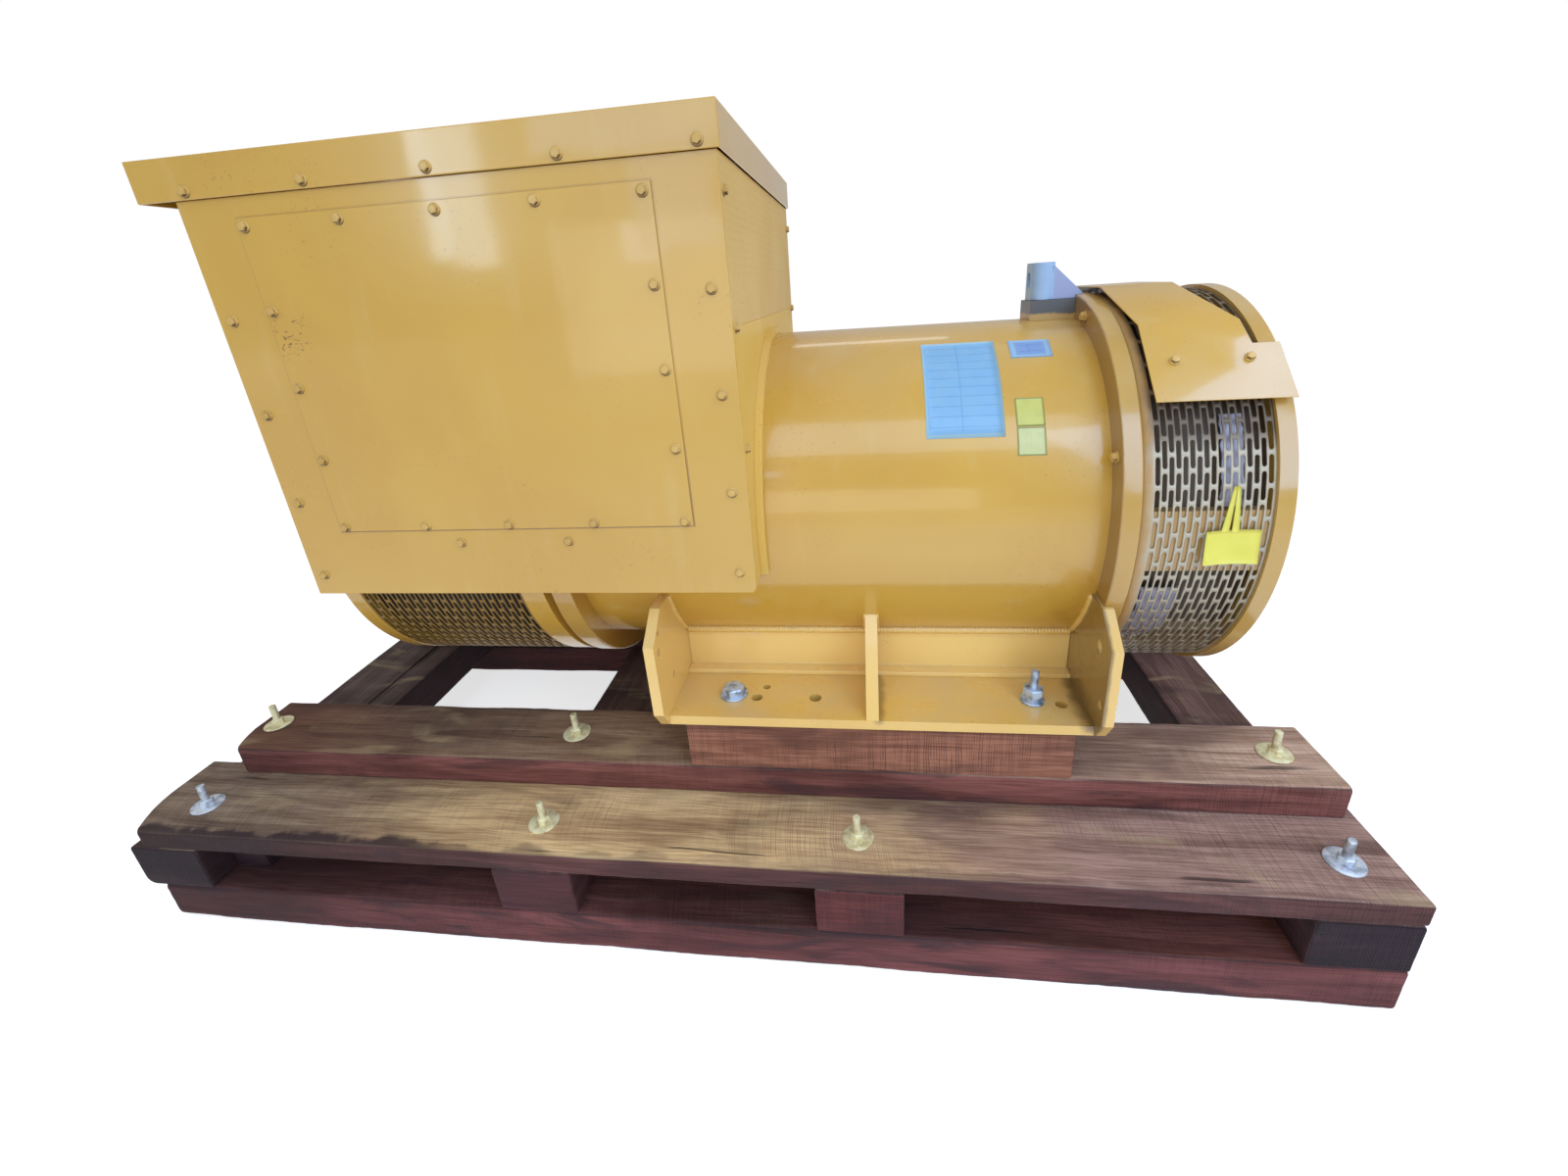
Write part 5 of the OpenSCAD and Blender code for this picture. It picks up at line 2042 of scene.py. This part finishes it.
@dataclass
class Studio:
    """The camera, the pale floor and the soft lamps."""

    spot: Triple = (0.38456, -1.50169, 1.33735)
    turn: Triple = (69.253, 3.6658, 6.8443)
    lens: float = 14.280
    shift: Pair = (-0.00243, -0.04213)
    floor_side: float = 30.0
    floor_glow: float = 0.68
    world_light: float = 0.52
    lamps: tuple[Lamp, ...] = (
        Lamp("key", (0.35, -2.2, 3.15), (0.35, -0.3, 1.05), (2.6, 1.2), 22.0, SKY),
        Lamp("open_door", (3.3, -2.3, 2.7), (0.9, -0.35, 1.05), (3.6, 3.4), 19.0, mirrored=False),
        Lamp("door_gap", (2.52, -3.04, 2.64), (1.0, -0.35, 1.0), (1.4, 2.8), 58.0, DEEP_SKY),
        Lamp("window_left", (-2.05, -3.04, 2.07), (-2.05, 0.0, 2.07), (0.15, 0.9), 3.8, DAYLIGHT),
        Lamp("window_right", (-1.84, -3.04, 2.05), (-1.84, 0.0, 2.05), (0.26, 0.97), 5.0, DAYLIGHT),
        Lamp("pane", (-0.64, -3.04, 1.84), (-0.64, 0.0, 1.84), (0.46, 0.5), 1.5, PANE),
        Lamp("small_pane", (-0.86, -3.04, 1.63), (-0.86, 0.0, 1.63), (0.22, 0.2), 0.5, SMALL_PANE),
        Lamp("clerestory", (-0.82, -3.04, 2.2), (-0.82, 0.0, 2.2), (1.2, 0.26), 3.3, PANE),
        Lamp("roof_light", (2.45, -0.75, 3.6), (2.45, -0.74, 0.0), (0.66, 0.96), 12.0, DEEP_SKY,
             roll=-26.6),
        Lamp("strip", (0.35, 2.4, 3.6), (0.4, -0.1, 1.2), (1.2, 0.25), 2.2),
        Lamp("top_fill", (0.2, -0.9, 3.4), (0.3, -0.5, 0.5), (3.0, 1.6), 10.0, mirrored=False),
        Lamp("fill", (-0.4, -4.8, 1.3), (0.1, -0.4, 0.7), (3.5, 1.2), 20.0, WARM),
        Lamp("low_fill", (0.2, -1.9, 0.35), (0.3, -0.35, 0.55), (3.0, 0.5), 6.5, mirrored=False),
        Lamp("end_fill", (2.2, -0.3, 1.9), (0.16, -0.2, 1.25), (1.0, 1.0), 8.0, mirrored=False),
    )

    def build_camera(self) -> None:
        """Sets the camera."""
        data = bpy.data.cameras.new("camera")
        data.lens, data.sensor_width = self.lens, 36.0
        data.shift_x, data.shift_y = self.shift
        data.clip_start, data.clip_end = 0.05, 100.0
        camera = bpy.data.objects.new("camera", data)
        camera.location = self.spot
        camera.rotation_euler = [math.radians(a) for a in self.turn]
        bpy.context.scene.collection.objects.link(camera)
        bpy.context.scene.camera = camera

    def build_floor(self) -> None:
        """A wide pale square that shows near white, also in gloss, and keeps the soft shadow."""
        corners = np.array([(-1, -1, 0), (1, -1, 0), (1, 1, 0), (-1, 1, 0)], float)
        sheet = Shell.of_faces(corners * self.floor_side, np.array([[0, 1, 2, 3]]), False)
        floor = bpy.data.objects.new("floor", sheet.mesh("floor"))
        floor.location = (0.0, 0.0, -0.5 * MM)
        g = Graph("floor")
        path = g.add("ShaderNodeLightPath")
        seen = g.larger(path.outputs["Is Camera Ray"], path.outputs["Is Glossy Ray"])
        g.finish(Base_Color=(0.66, 0.66, 0.66, 1), Roughness=0.9, Emission_Color=(1, 1, 1, 1),
                 Emission_Strength=g.times(seen, self.floor_glow), Specular_IOR_Level=0.1)
        floor.data.materials.append(g.material)
        bpy.context.scene.collection.objects.link(floor)

    def build_lamps(self) -> None:
        """An even pale world that shows white behind the machine, and the soft boxes."""
        world = bpy.data.worlds.new("studio")
        world.use_nodes = True
        tree = world.node_tree
        back = tree.nodes["Background"]
        path, pick = tree.nodes.new("ShaderNodeLightPath"), tree.nodes.new("ShaderNodeMix")
        pick.data_type = "FLOAT"
        tree.links.new(path.outputs["Is Camera Ray"], pick.inputs[0])
        pick.inputs[2].default_value, pick.inputs[3].default_value = self.world_light, 1.0
        tree.links.new(pick.outputs[0], back.inputs["Strength"])
        back.inputs["Color"].default_value = (1, 1, 1, 1)
        bpy.context.scene.world = world
        for lamp in self.lamps:
            lamp.build()


def main() -> None:
    """Builds the studio and every sub-assembly in order."""
    logging.basicConfig(level=logging.INFO, format="%(name)s: %(message)s")
    studio = Studio()
    studio.build_camera()
    for part in (Skid(), Feet(), Machine(), DriveEnd(), RearEnd(), TerminalBox()):
        log.info("building %s", type(part).__name__)
        part.build()
    studio.build_floor()
    studio.build_lamps()
    bpy.context.scene.view_settings.view_transform = "Standard"


if __name__ == "__main__":
    main()
